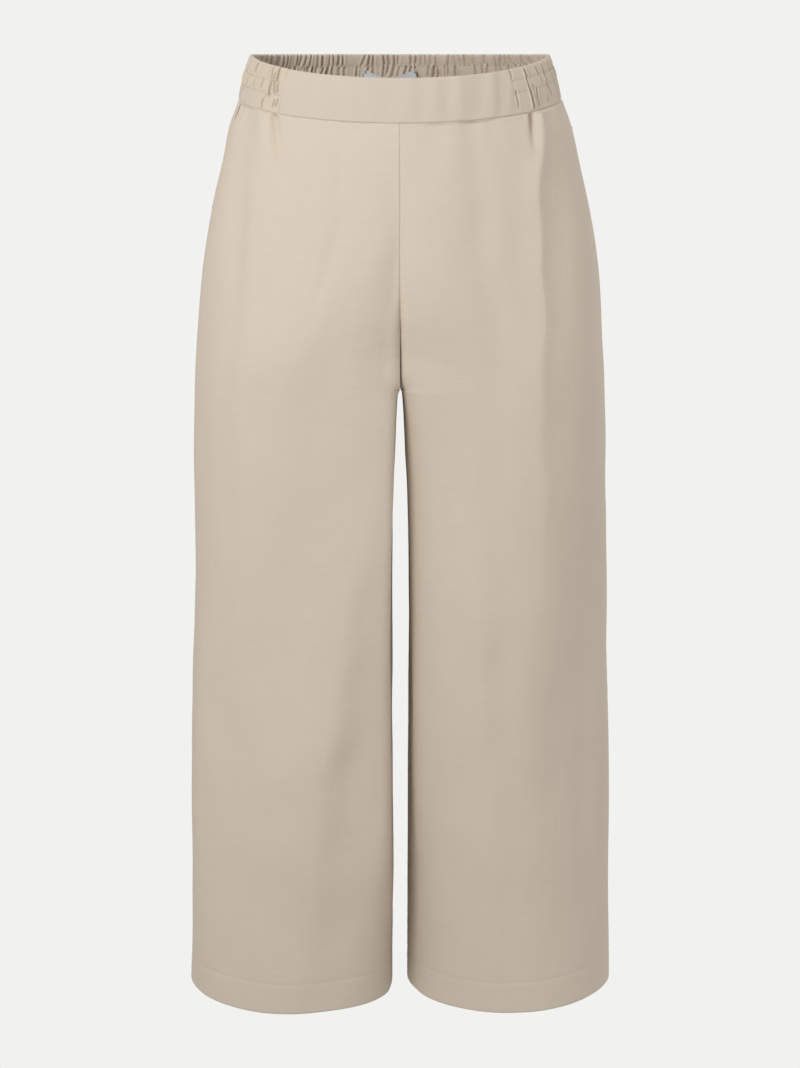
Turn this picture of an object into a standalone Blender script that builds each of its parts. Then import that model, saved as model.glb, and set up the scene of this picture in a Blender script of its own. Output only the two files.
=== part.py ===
"""Wide-leg pull-on trousers, hollow and filled out as if worn, with a gathered elastic waistband.

The origin is at the waist, halfway up the waistband on its centre axis. The front faces -Y, +Z is up and
the wearer's left is +X. Every cloth piece is a closed wall taken from one garment surface, so that pieces
that meet at a seam share its shape.
"""

import math
from collections import namedtuple

import bmesh
import bpy
from mathutils import Vector

# ---------------------------------------------------------------- driving dimensions, in metres

BAND_TOP = 0.0200  # top edge of the waistband at the sides and the back
WAIST_SEAM = -0.0205  # lower edge of the waistband at the sides and the back
FRONT_DIP = 0.0208  # how far the waistband drops at the centre front
DIP_END = -0.2000  # level at which the front dip has died out
CROTCH = -0.2840
HEM = -0.8807
HEM_DEPTH = 0.0300  # turned-up hem, from its edge to its stitch line
HEM_LIFT = 0.0045  # how much higher the hem lies at the side seams
HEM_LIFT_TOP = -0.7800  # level at which that lift has died out

CLOTH = 0.0015  # wall of one layer
HEM_CLOTH = 0.0026  # wall where the hem is turned up
SEAM_GAP = 0.0003  # between two pieces that are sewn together
BAND_PROUD = 0.0008  # the waistband lies this far outside the panels
FLAT_BAND_CLOTH = 0.0022  # the flat front waistband is folded double
FLAT_BAND_SWELL = 0.0004
FLAT_BAND_ENDS = (-0.1075, 0.1035)  # x of the seams between the flat and the elastic waistband

GATHERS = 72
GATHER_COLUMNS = 3  # points round each gather
GATHER_DRIFT = 0.0040  # how far the gathers are shifted from even places, as a share of the whole round
GATHER_UNEVENNESS = 0.20
VALLEY_HALF = 0.0008  # half the elastic waistband's wall in a valley
CREST_HALF = 0.0018  # and at a crest

BACK_FOLDS = 7  # soft folds under the elastic, on each back panel
BACK_FOLD_RISE = 0.0028
BACK_FOLD_LENGTH = 0.070
BACK_FOLD_SPREAD = 0.030  # how much longer or shorter the single folds are

FORK_TOP = -0.1200  # above this level front and back are one smooth round
FORK_ROUNDING = 0.04  # share of the fork over which the crotch rounds into the legs
FORK_POWER = 3  # how soon above the crotch the centre seams have come out to the full depth

LABEL_CENTRE_X = -0.0100
LABEL_WIDTH = 0.0520
LABEL_TOP = 0.0060
LABEL_HEIGHT = 0.0240
LABEL_CLOTH = 0.0010
LABEL_SAG = 0.0080

BAG_CLOTH = 0.0018  # both layers of the pocket bag, lying flat together
BAG_CLEARANCE = 0.0004
BAG_TOP_CLEARANCE = 0.0006

FLAT_COLUMNS = 26
LABEL_COLUMNS = 12
FRONT_COLUMNS = 18
BACK_COLUMNS = 3 * BACK_FOLDS
PANEL_LEVELS = (
    WAIST_SEAM, -0.045, -0.075, -0.110, -0.150, -0.190, -0.220, -0.243, -0.260, -0.271, -0.278, -0.282,
    CROTCH, -0.292, -0.310, -0.345, -0.400, -0.480, -0.590, -0.700, -0.790,
    HEM + HEM_DEPTH, HEM + HEM_DEPTH - CLOTH, HEM,
)

# One row for each level of the outline: the half-width, and how far front and back stand off the axis.
Section = namedtuple("Section", "height half_width front_depth back_depth")
SECTIONS = (
    Section(BAND_TOP, 0.1390, 0.0925, 0.0955),
    Section(0.0020, 0.1456, 0.0955, 0.0985),
    Section(WAIST_SEAM, 0.1508, 0.0985, 0.1010),
    Section(-0.0461, 0.1597, 0.1050, 0.1090),
    Section(-0.0778, 0.1671, 0.1110, 0.1190),
    Section(-0.1152, 0.1760, 0.1175, 0.1320),
    Section(-0.1528, 0.1831, 0.1220, 0.1430),
    Section(-0.1906, 0.1877, 0.1240, 0.1485),
    Section(-0.2477, 0.1911, 0.1225, 0.1455),
    Section(CROTCH, 0.1933, 0.1200, 0.1400),
    Section(-0.3245, 0.1949, 0.1175, 0.1330),
    Section(-0.4411, 0.1965, 0.1130, 0.1200),
    Section(-0.5596, 0.2007, 0.1095, 0.1130),
    Section(-0.6800, 0.2050, 0.1070, 0.1090),
    Section(HEM, 0.2073, 0.1060, 0.1070),
)

# The elastic waistband from its lower to its upper edge: how full its gathers stand at each share of the
# height. The two stitch rows pinch them.
BandRow = namedtuple("BandRow", "share fullness")
ELASTIC_ROWS = (
    BandRow(0.00, 0.45),
    BandRow(0.44, 0.55),
    BandRow(0.58, 1.00),
    BandRow(0.72, 0.55),
    BandRow(0.86, 1.00),
    BandRow(1.00, 0.75),
)

# The flat waistband: fullness is its swell between its rounded edges.
FLAT_ROWS = (
    BandRow(0.00, -0.75),
    BandRow(0.06, 0.20),
    BandRow(0.35, 0.90),
    BandRow(0.65, 0.90),
    BandRow(0.94, 0.20),
    BandRow(1.00, -0.75),
)

# The legs: half the gap between them, and front_corner, the power that shapes the inner half of their fronts.
# It is 1 for an ellipse and less for a front that stays flat up to the inner edge.
LegForm = namedtuple("LegForm", "height half_gap front_corner")
LEG_FORMS = (
    LegForm(CROTCH, 0.0006, 0.60),
    LegForm(-0.3050, 0.0024, 0.60),
    LegForm(-0.3440, 0.0048, 0.60),
    LegForm(-0.3830, 0.0067, 0.62),
    LegForm(-0.4610, 0.0082, 0.68),
    LegForm(-0.6000, 0.0085, 0.82),
    LegForm(HEM, 0.0074, 1.00),
)

# The largest soft folds: face is -1 on the front and +1 on the back, rise is negative for a trough.
Fold = namedtuple("Fold", "face top bottom x_top x_bottom half_width rise")
FOLDS = (
    Fold(-1, -0.030, -0.340, -0.136, -0.170, 0.018, -0.0030),
    Fold(-1, -0.480, -0.850, -0.050, -0.086, 0.024, 0.0040),
    Fold(-1, -0.050, -0.300, 0.064, 0.070, 0.018, -0.0022),
    Fold(-1, -0.030, -0.350, 0.124, 0.138, 0.018, 0.0034),
    Fold(-1, -0.310, -0.870, 0.046, 0.054, 0.030, 0.0036),
    Fold(-1, -0.400, -0.860, 0.142, 0.150, 0.026, -0.0026),
    Fold(1, -0.230, -0.420, -0.040, -0.130, 0.020, -0.0032),
    Fold(1, -0.240, -0.450, 0.036, 0.120, 0.020, -0.0036),
    Fold(1, -0.400, -0.860, -0.090, -0.080, 0.030, 0.0040),
    Fold(1, -0.380, -0.840, 0.110, 0.096, 0.030, 0.0036),
)

# The side pockets, in the seam between front and back: side is -1 on the wearer's right. The front panel's
# edge stands this far from the seam down to open_to, and meets the seam again at closed_at.
Pocket = namedtuple("Pocket", "name side open_to closed_at gape")
POCKETS = (
    Pocket("pocket_bag_right", -1, -0.0400, -0.1200, 0.0165),
    Pocket("pocket_bag_left", 1, -0.0450, -0.1700, 0.0010),
)
BAG_FIRST_COLUMN = 9  # columns of the front panel from here to the side carry the pocket bag
BAG_BACK_COLUMNS = 2  # and it reaches this many columns past the seam
BAG_LAST_LEVEL = 8
BAG_CORNER_LIFT = 0.85  # share of the lowest stretch by which its corners are rounded up

COLOURS = {
    "front_panel": (0.68, 0.58, 0.45),
    "back_panel": (0.64, 0.54, 0.42),
    "waistband_front": (0.70, 0.60, 0.47),
    "waistband_back": (0.66, 0.56, 0.43),
    "pocket_bag": (0.60, 0.51, 0.40),
    "care_label": (0.72, 0.76, 0.83),
}
CLOTH_ROUGHNESS = 0.85

# ---------------------------------------------------------------- the garment surface

Level = namedtuple("Level", "centre inner_radius outer_radius front_depth back_depth front_corner start_angle")


def mix(first, last, share):
    return first + (last - first) * share


def ease(share):
    """0 to 1 with level ends."""
    share = min(max(share, 0.0), 1.0)
    return share * share * (3.0 - 2.0 * share)


def read(table, column, height):
    """A column of a table at a height between its rows, along a smooth curve through them."""
    heights = [row.height for row in table]
    values = [getattr(row, column) for row in table]
    last = len(table) - 1
    height = min(max(height, heights[last]), heights[0])
    row = next(i for i in range(last) if height >= heights[i + 1])

    def slope(i):
        before = max(i - 1, 0)
        after = min(i + 1, last)
        return (values[after] - values[before]) / (heights[after] - heights[before])

    span = heights[row + 1] - heights[row]
    share = (height - heights[row]) / span
    eased = ease(share)
    bend = share * (1.0 - share) * span
    pull = slope(row) * (1.0 - share) - slope(row + 1) * share
    return mix(values[row], values[row + 1], eased) + bend * pull


def level_at(height):
    """The half-round of one side at a level: below the crotch a whole leg, above it half of the body."""
    half_width = read(SECTIONS, "half_width", height)
    front_depth = read(SECTIONS, "front_depth", height)
    back_depth = read(SECTIONS, "back_depth", height)
    front_corner = read(LEG_FORMS, "front_corner", height)
    if height <= CROTCH:
        half_gap = read(LEG_FORMS, "half_gap", height)
        radius = (half_width - half_gap) / 2
        return Level(half_gap + radius, radius, radius, front_depth, back_depth, front_corner, 0.0)
    if height >= FORK_TOP:
        return Level(0.0, half_width, half_width, front_depth, back_depth, 1.0, math.pi / 2)
    share = (height - CROTCH) / (FORK_TOP - CROTCH)
    risen = share * share * (1.0 + FORK_ROUNDING) / (share + FORK_ROUNDING)
    inward = (1.0 - risen) ** FORK_POWER
    centre = half_width / 2 * (1.0 - ease(share))
    inner_radius = centre / inward
    outer_radius = half_width - centre
    start_angle = math.acos(inward)
    return Level(centre, inner_radius, outer_radius, front_depth, back_depth, front_corner, start_angle)


def front_dip(height, frontness):
    """How far a point of the front lies below its level."""
    return FRONT_DIP * max(frontness, 0.0) ** 1.2 * ease((height - DIP_END) / (WAIST_SEAM - DIP_END))


def hem_lift(height, outwardness):
    """How far a point near the hem lies above its level, most at the side seam."""
    return HEM_LIFT * max(outwardness, 0.0) ** 3 * ease((HEM_LIFT_TOP - height) / (HEM_LIFT_TOP - HEM))


def body_point(side, height, turn):
    """A point of the smooth surface. turn runs from the centre front or inseam (0) over the side seam (0.5)
    to the centre back or inseam (1)."""
    level = level_at(height)
    if turn <= 0.5:
        angle = mix(level.start_angle, math.pi, 2 * turn)
    else:
        angle = mix(math.pi, 2 * math.pi - level.start_angle, 2 * turn - 1)
    across = math.cos(angle)
    frontness = math.sin(angle)
    radius = level.inner_radius if across > 0 else level.outer_radius
    depth = level.front_depth if frontness > 0 else level.back_depth
    x = level.centre - radius * across
    reach = frontness**level.front_corner if across > 0 and frontness > 0 else frontness
    z = height - front_dip(height, frontness) + hem_lift(height, -across)
    return Vector((side * x, -depth * reach, z))


def turn_of(side, height, turn, distance):
    """The change in turn that moves a point this far along the surface."""
    step = 0.001 if turn < 0.5 else -0.001
    travel = (body_point(side, height, turn + step) - body_point(side, height, turn)).length
    return distance * abs(step) / travel


def mouth_gape(pocket, height):
    """How far the pocket's mouth stands open at a level."""
    return pocket.gape * ease((height - pocket.closed_at) / (pocket.open_to - pocket.closed_at))


def surface_rows(side):
    """The smooth surface of one side as rows of points: the front panel's columns, then the back panel's."""
    pocket = next(pocket for pocket in POCKETS if pocket.side == side)
    rows = []
    for height in PANEL_LEVELS:
        if height == WAIST_SEAM:
            height -= SEAM_GAP / 2
        start = turn_of(side, height, 0.0, SEAM_GAP / 2)
        front_end = 0.5 - turn_of(side, height, 0.499, SEAM_GAP / 2 + mouth_gape(pocket, height))
        back_start = 0.5 + turn_of(side, height, 0.501, SEAM_GAP / 2)
        end = 1.0 - turn_of(side, height, 1.0, SEAM_GAP / 2)
        turns = [mix(start, front_end, i / FRONT_COLUMNS) for i in range(FRONT_COLUMNS + 1)]
        turns += [mix(back_start, end, i / BACK_COLUMNS) for i in range(BACK_COLUMNS + 1)]
        rows.append([body_point(side, height, turn) for turn in turns])
    return rows


def outward_normals(side, rows):
    """The surface's outward direction at each point, from its neighbours."""
    last_row = len(rows) - 1
    last_column = len(rows[0]) - 1
    normals = []
    for i, row in enumerate(rows):
        whole_leg = PANEL_LEVELS[i] <= CROTCH
        line = []
        for j in range(last_column + 1):
            before = row[j - 1] if j > 0 or whole_leg else row[j]
            after = row[(j + 1) % (last_column + 1)] if j < last_column or whole_leg else row[j]
            along = after - before
            down = rows[min(i + 1, last_row)][j] - rows[max(i - 1, 0)][j]
            normal = down.cross(along) * side
            if i == 0 or i >= last_row - 2:
                normal.z = 0.0
            line.append(normal.normalized())
        share_direction(line, FRONT_COLUMNS, FRONT_COLUMNS + 1)
        if whole_leg:
            share_direction(line, last_column, 0)
        normals.append(line)
    return normals


def share_direction(line, a, b):
    """Two pieces that meet at a seam turn their edges the same way, so their walls don't cross."""
    shared = (line[a] + line[b]).normalized()
    line[a] = shared
    line[b] = shared.copy()


# ---------------------------------------------------------------- folds


def fold_rise(point):
    """Height of the large soft folds at a point of the smooth surface."""
    rise = 0.0
    for fold in FOLDS:
        share = (fold.top - point.z) / (fold.top - fold.bottom)
        if point.y * fold.face > 0 and 0 < share < 1:
            offset = (point.x - mix(fold.x_top, fold.x_bottom, share)) / fold.half_width
            rise += fold.rise * math.exp(-offset * offset) * math.sin(math.pi * share) ** 0.7
    return rise


def back_fold_rise(column, height):
    """Height of the folds that hang from the elastic on a back panel; they differ in length."""
    phase = column / BACK_COLUMNS * BACK_FOLDS
    length = BACK_FOLD_LENGTH + BACK_FOLD_SPREAD * math.sin(2.4 * math.floor(phase) + 1.0)
    fade = 1.0 - ease((WAIST_SEAM - height) / length)
    return BACK_FOLD_RISE * math.sin(math.pi * phase) ** 2 * fade


def garment_side(side):
    """Outer and inner points of one side's wall, the folds included."""
    smooth = surface_rows(side)
    normals = outward_normals(side, smooth)
    outer = []
    for i, row in enumerate(smooth):
        line = []
        for j, point in enumerate(row):
            rise = fold_rise(point) * abs(normals[i][j].y)
            if j > FRONT_COLUMNS:
                rise += back_fold_rise(j - FRONT_COLUMNS - 1, PANEL_LEVELS[i])
            line.append(keep_side(side, point + normals[i][j] * rise))
        outer.append(line)
    return outer, outward_normals(side, outer)


def keep_side(side, point):
    """Keeps a point on its own side of the centre seam."""
    return Vector((side * max(side * point.x, SEAM_GAP / 2), point.y, point.z))


def sunk(side, points, normals, depth_at):
    """The points moved inwards, by the depth for each row."""
    return [
        [keep_side(side, point - normal * depth_at(i)) for point, normal in zip(row, line)]
        for i, (row, line) in enumerate(zip(points, normals))
    ]


# ---------------------------------------------------------------- building the pieces


def new_material(name, colour):
    material = bpy.data.materials.new(name)
    material.use_nodes = True
    shader = material.node_tree.nodes["Principled BSDF"]
    shader.inputs["Base Color"].default_value = (*colour, 1.0)
    shader.inputs["Roughness"].default_value = CLOTH_ROUGHNESS
    shader.inputs["Metallic"].default_value = 0.0
    material.diffuse_color = (*colour, 1.0)
    return material


def cloth_wall(name, colour, outer, inner, collection, parent):
    """One closed wall between two grids of points of the same size."""
    mesh = bmesh.new()
    skins = [[[mesh.verts.new(point) for point in row] for row in grid] for grid in (outer, inner)]
    last_row = len(outer) - 1
    last_column = len(outer[0]) - 1
    for skin in skins:
        for i in range(last_row):
            for j in range(last_column):
                mesh.faces.new((skin[i][j], skin[i][j + 1], skin[i + 1][j + 1], skin[i + 1][j]))
    face, lining = skins
    for j in range(last_column):
        for i in (0, last_row):
            mesh.faces.new((face[i][j], face[i][j + 1], lining[i][j + 1], lining[i][j]))
    for i in range(last_row):
        for j in (0, last_column):
            mesh.faces.new((face[i][j], face[i + 1][j], lining[i + 1][j], lining[i][j]))
    bmesh.ops.recalc_face_normals(mesh, faces=mesh.faces)
    data = bpy.data.meshes.new(name)
    mesh.to_mesh(data)
    mesh.free()
    data.shade_smooth()
    data.set_sharp_from_angle(angle=math.radians(50))
    data.materials.append(new_material(name, colour))
    piece = bpy.data.objects.new(name, data)
    piece.parent = parent
    collection.objects.link(piece)
    return piece


def columns(grid, first, last):
    return [row[first : last + 1] for row in grid]


def build_panels(suffix, outer, inner, collection, parent):
    """The front and the back panel of one side, each from the centre seam and inseam to the side seam."""
    ranges = {
        "front_panel": (0, FRONT_COLUMNS),
        "back_panel": (FRONT_COLUMNS + 1, FRONT_COLUMNS + 1 + BACK_COLUMNS),
    }
    for kind, (first, last) in ranges.items():
        face = columns(outer, first, last)
        lining = columns(inner, first, last)
        cloth_wall(f"{kind}_{suffix}", COLOURS[kind], face, lining, collection, parent)


def build_pocket_bag(pocket, outer, normals, collection, parent):
    """The pocket bag lies flat against the panels' inside, from their own points moved inwards."""
    first = BAG_FIRST_COLUMN
    last = FRONT_COLUMNS + 1 + BAG_BACK_COLUMNS
    points = columns(outer[: BAG_LAST_LEVEL + 1], first, last)
    directions = columns(normals[: BAG_LAST_LEVEL + 1], first, last)
    depth = CLOTH + BAG_CLEARANCE
    face = sunk(pocket.side, points, directions, lambda i: depth)
    lining = sunk(pocket.side, points, directions, lambda i: depth + BAG_CLOTH)
    for grid in (face, lining):
        lowest = grid[-1]
        above = grid[-2]
        count = len(lowest) - 1
        for j in range(count + 1):
            lift = BAG_CORNER_LIFT * (2 * j / count - 1) ** 4
            lowest[j] = lowest[j].lerp(above[j], lift)
        for j in range(count + 1):
            drop = BAG_TOP_CLEARANCE / (grid[0][j].z - grid[1][j].z)
            grid[0][j] = grid[0][j].lerp(grid[1][j], drop)
    cloth_wall(pocket.name, COLOURS["pocket_bag"], face, lining, collection, parent)


def band_point(height, bearing):
    """A point of the waist surface. Bearing 0 is the centre front, a quarter turn the wearer's left."""
    half_width = read(SECTIONS, "half_width", height)
    frontness = math.cos(bearing)
    depth = read(SECTIONS, "front_depth" if frontness > 0 else "back_depth", height)
    dip = front_dip(height, frontness)
    return Vector((half_width * math.sin(bearing), -depth * frontness, height - dip))


def band_grid(levels, bearings, offset_at):
    """Rows of the waist surface moved outwards by offset_at(row, column)."""
    step = 0.001
    grid = []
    for i, height in enumerate(levels):
        row = []
        for j, bearing in enumerate(bearings):
            point = band_point(height, bearing)
            along = band_point(height, bearing + step) - point
            outward = Vector((along.y, -along.x, 0.0)).normalized()
            row.append(point + outward * offset_at(i, j))
        grid.append(row)
    return grid


def band_levels(rows):
    low = WAIST_SEAM + SEAM_GAP / 2
    return [mix(low, BAND_TOP, row.share) for row in rows]


def split_bearings():
    """The bearings of the two seams between the flat and the elastic waistband."""
    half_width = read(SECTIONS, "half_width", 0.0)
    return [math.asin(x / half_width) for x in FLAT_BAND_ENDS]


def seam_bearing():
    """The change in bearing that makes half of a seam's gap."""
    return SEAM_GAP / 2 / read(SECTIONS, "front_depth", BAND_TOP)


def build_front_band(collection, parent):
    """The flat front waistband, a little fuller halfway up."""
    levels = band_levels(FLAT_ROWS)
    first, last = split_bearings()
    first += seam_bearing()
    last -= seam_bearing()
    bearings = [mix(first, last, j / FLAT_COLUMNS) for j in range(FLAT_COLUMNS + 1)]
    swell = [FLAT_BAND_SWELL * row.fullness for row in FLAT_ROWS]
    outer = band_grid(levels, bearings, lambda i, j: BAND_PROUD + swell[i])
    inner = band_grid(levels, bearings, lambda i, j: BAND_PROUD - FLAT_BAND_CLOTH - swell[i])
    cloth_wall("waistband_front", COLOURS["waistband_front"], outer, inner, collection, parent)


def gather_half(share, row):
    """Half the elastic waistband's wall at a share of its round: crests between valleys, all uneven."""
    drift = GATHER_DRIFT * math.sin(10 * math.pi * share) * math.sin(math.pi * share)
    phase = GATHERS * (share + drift)
    crest = abs(math.sin(math.pi * phase)) ** 0.8
    strength = 1.0 - GATHER_UNEVENNESS * (1.0 - math.sin(2.7 * math.floor(phase) + 3.0 * row.share))
    return mix(VALLEY_HALF, CREST_HALF, crest * strength * row.fullness)


def build_back_band(collection, parent):
    """The elastic waistband: round the back and both sides, gathered by two rows of stitches."""
    levels = band_levels(ELASTIC_ROWS)
    right, left = split_bearings()
    first = left + seam_bearing()
    last = right + 2 * math.pi - seam_bearing()
    steps = GATHERS * GATHER_COLUMNS
    bearings = [mix(first, last, j / steps) for j in range(steps + 1)]
    middle = BAND_PROUD - FLAT_BAND_CLOTH / 2
    halves = [[gather_half(j / steps, row) for j in range(steps + 1)] for row in ELASTIC_ROWS]
    outer = band_grid(levels, bearings, lambda i, j: middle + halves[i][j])
    inner = band_grid(levels, bearings, lambda i, j: middle - halves[i][j])
    cloth_wall("waistband_back", COLOURS["waistband_back"], outer, inner, collection, parent)


def build_label(collection, parent):
    """The bare label inside the centre back, tacked at its upper corners so that its top edge sags."""
    shares = (0.0, 0.5, 1.0)
    half_width = read(SECTIONS, "half_width", 0.0)
    centre = math.pi - math.asin(LABEL_CENTRE_X / half_width)
    half_turn = math.asin(LABEL_WIDTH / 2 / half_width)
    turns = [2 * j / LABEL_COLUMNS - 1 for j in range(LABEL_COLUMNS + 1)]
    bearings = [centre + half_turn * turn for turn in turns]
    levels = [mix(LABEL_TOP - LABEL_HEIGHT, LABEL_TOP, share) for share in shares]
    outside = BAND_PROUD - FLAT_BAND_CLOTH / 2 - CREST_HALF - SEAM_GAP
    outer = band_grid(levels, bearings, lambda i, j: outside)
    inner = band_grid(levels, bearings, lambda i, j: outside - LABEL_CLOTH)
    for grid in (outer, inner):
        for point, turn in zip(grid[-1], turns):
            point.z -= LABEL_SAG * (1.0 - turn * turn)
    cloth_wall("care_label", COLOURS["care_label"], outer, inner, collection, parent)


def clear_scene():
    for old in list(bpy.data.objects):
        bpy.data.objects.remove(old, do_unlink=True)


def build_trousers():
    clear_scene()
    collection = bpy.data.collections.new("wide_leg_trousers")
    bpy.context.scene.collection.children.link(collection)
    waist = bpy.data.objects.new("waist", None)
    waist.empty_display_size = 0.05
    collection.objects.link(waist)

    first_hem_row = PANEL_LEVELS.index(HEM + HEM_DEPTH - CLOTH)
    for pocket in POCKETS:
        suffix = "left" if pocket.side > 0 else "right"
        outer, normals = garment_side(pocket.side)
        inner = sunk(pocket.side, outer, normals, lambda i: HEM_CLOTH if i >= first_hem_row else CLOTH)
        build_panels(suffix, outer, inner, collection, waist)
        build_pocket_bag(pocket, outer, normals, collection, waist)
    build_front_band(collection, waist)
    build_back_band(collection, waist)
    build_label(collection, waist)


build_trousers()
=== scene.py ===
"""Wide-leg pull-on trousers in a pale linen blend, hollow and filled out as if worn.

All lengths are metres, in the frame of the garment's solids: the front faces -Y, +Z is up, the wearer's left
is +X and the origin is at the waist. The sections follow the trousers as they are sewn together.
"""

import math
from collections import namedtuple

import bmesh
import bpy
import numpy as np
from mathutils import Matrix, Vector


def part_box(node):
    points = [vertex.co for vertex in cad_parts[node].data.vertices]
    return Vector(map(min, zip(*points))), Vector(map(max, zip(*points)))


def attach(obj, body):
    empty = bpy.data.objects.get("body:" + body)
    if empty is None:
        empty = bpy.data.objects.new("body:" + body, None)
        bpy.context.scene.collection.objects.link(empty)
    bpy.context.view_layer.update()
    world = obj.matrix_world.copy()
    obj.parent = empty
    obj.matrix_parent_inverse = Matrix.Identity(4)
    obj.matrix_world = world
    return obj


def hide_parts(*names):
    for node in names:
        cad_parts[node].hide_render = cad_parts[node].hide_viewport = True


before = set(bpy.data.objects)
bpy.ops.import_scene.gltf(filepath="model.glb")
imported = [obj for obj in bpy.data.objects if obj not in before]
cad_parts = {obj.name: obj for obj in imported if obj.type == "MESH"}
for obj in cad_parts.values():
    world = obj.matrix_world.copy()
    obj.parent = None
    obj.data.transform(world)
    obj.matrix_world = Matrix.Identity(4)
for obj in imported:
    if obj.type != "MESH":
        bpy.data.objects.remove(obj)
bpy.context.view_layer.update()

# ================================================================ camera, light and floor
# The view is from straight in front at waist height, tipped down a little, with a long lens. The light is one
# wide soft lamp high on the left, a weak one on the right and one behind, in a pale room with a pale floor.

CAMERA_HEIGHT = 0.020
CAMERA_DISTANCE = 2.5818
CAMERA_TIP = math.radians(10.0)
LENS = 91.66  # mm, on a sensor of 36 mm

camera_data = bpy.data.cameras.new("camera")
camera_data.lens = LENS
camera = bpy.data.objects.new("camera", camera_data)
camera.location = (0.0, -CAMERA_DISTANCE, CAMERA_HEIGHT)
camera.rotation_euler = (math.pi / 2 - CAMERA_TIP, 0.0, 0.0)
bpy.context.scene.collection.objects.link(camera)
bpy.context.scene.camera = camera
bpy.context.scene.view_settings.view_transform = "Standard"

Lamp = namedtuple("Lamp", "name place aim size watts")
LAMPS = (
    Lamp("lamp_left", (-1.00, -1.52, 0.75), (0.0, 0.0, -0.05), 0.8, 22.5),
    Lamp("lamp_right", (2.2, -1.0, 0.1), (0.0, 0.0, -0.35), 1.6, 10.5),
    Lamp("lamp_back", (1.5, 2.1, 0.7), (0.0, 0.0, -0.35), 1.4, 10.5),
)


def add_lamp(lamp):
    data = bpy.data.lights.new(lamp.name, "AREA")
    data.size = lamp.size
    data.energy = lamp.watts
    light = bpy.data.objects.new(lamp.name, data)
    light.location = lamp.place
    aim = Vector(lamp.aim) - light.location
    light.rotation_euler = aim.to_track_quat("-Z", "Y").to_euler()
    bpy.context.scene.collection.objects.link(light)


for lamp in LAMPS:
    add_lamp(lamp)

ROOM_COLOUR = (0.882, 0.882, 0.868, 1.0)  # what the camera sees behind the garment
ROOM_LIGHT = 0.59  # strength of the light that comes from all around
FLOOR_LEVEL = -2.6
FLOOR_SIZE = 120.0


def room_light(tree, shader_kind, output):
    """Wires a shader that the camera sees at full strength and that lights the garment at the room's."""
    path = tree.nodes.new("ShaderNodeLightPath")
    strength = tree.nodes.new("ShaderNodeMapRange")
    strength.inputs["To Min"].default_value = ROOM_LIGHT
    strength.inputs["To Max"].default_value = 1.0
    shader = tree.nodes.new(shader_kind)
    shader.inputs["Color"].default_value = ROOM_COLOUR
    tree.links.new(path.outputs["Is Camera Ray"], strength.inputs["Value"])
    tree.links.new(strength.outputs["Result"], shader.inputs["Strength"])
    tree.links.new(shader.outputs[0], output.inputs["Surface"])


world = bpy.data.worlds.new("room")
world.use_nodes = True
world.node_tree.nodes.clear()
room_light(world.node_tree, "ShaderNodeBackground", world.node_tree.nodes.new("ShaderNodeOutputWorld"))
bpy.context.scene.world = world

floor_mesh = bpy.data.meshes.new("floor")
half_floor = FLOOR_SIZE / 2
floor_corners = [(x, y, FLOOR_LEVEL) for x, y in ((-1, -1), (1, -1), (1, 1), (-1, 1))]
floor_mesh.from_pydata([(x * half_floor, y * half_floor, z) for x, y, z in floor_corners], [], [(0, 1, 2, 3)])
floor = bpy.data.objects.new("floor", floor_mesh)
bpy.context.scene.collection.objects.link(floor)
floor_paint = bpy.data.materials.new("floor_paint")
floor_paint.use_nodes = True
floor_paint.node_tree.nodes.clear()
room_light(
    floor_paint.node_tree, "ShaderNodeEmission", floor_paint.node_tree.nodes.new("ShaderNodeOutputMaterial")
)
floor_mesh.materials.append(floor_paint)

# ================================================================ leg panels
# Two front and two back panels of a mid-weight linen blend, plain woven from slubby yarns, its grain down the
# leg. They are sewn together at the centre seams, inseams and side seams and turned up at the hem. Soft
# folds hang from the gathered waist and from the seat, and the cloth is a little rumpled all over.

BAND_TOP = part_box("waistband_back")[1].z
WAIST_SEAM = -0.0205
FRONT_DIP = 0.0208  # how far the waist drops at the centre front
DIP_END = -0.2000
DIP_POWER = 1.2  # how fast the drop grows from the sides to the centre front
CROTCH = -0.2840
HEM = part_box("front_panel_left")[0].z
HEM_DEPTH = 0.0300
HEM_STITCH = HEM + HEM_DEPTH
HEM_LIFT = 0.0045  # how much higher the hem lies at the side seams
HEM_LIFT_TOP = -0.7800
HEM_LIFT_POWER = 3

CLOTH = 0.0015
HEM_CLOTH = 0.0026
CLOSED_SEAM = 0.00004  # what the finished seams leave between two edges
FORK_TOP = -0.1200  # from here down the body parts into two legs
FORK_ROUNDING = 0.04  # how softly the parting ends at the crotch
FORK_POWER = 3

Section = namedtuple("Section", "height half_width front_depth back_depth")
SECTIONS = (
    Section(BAND_TOP, 0.1390, 0.0925, 0.0955),
    Section(0.0020, 0.1456, 0.0955, 0.0985),
    Section(WAIST_SEAM, 0.1508, 0.0985, 0.1010),
    Section(-0.0461, 0.1597, 0.1050, 0.1090),
    Section(-0.0778, 0.1671, 0.1110, 0.1190),
    Section(-0.1152, 0.1760, 0.1175, 0.1320),
    Section(-0.1528, 0.1831, 0.1220, 0.1430),
    Section(-0.1906, 0.1877, 0.1240, 0.1485),
    Section(-0.2477, 0.1911, 0.1225, 0.1455),
    Section(CROTCH, 0.1933, 0.1200, 0.1400),
    Section(-0.3245, 0.1949, 0.1175, 0.1330),
    Section(-0.4411, 0.1965, 0.1130, 0.1200),
    Section(-0.5596, 0.2007, 0.1095, 0.1130),
    Section(-0.6800, 0.2050, 0.1070, 0.1090),
    Section(HEM, 0.2073, 0.1060, 0.1070),
)

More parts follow.
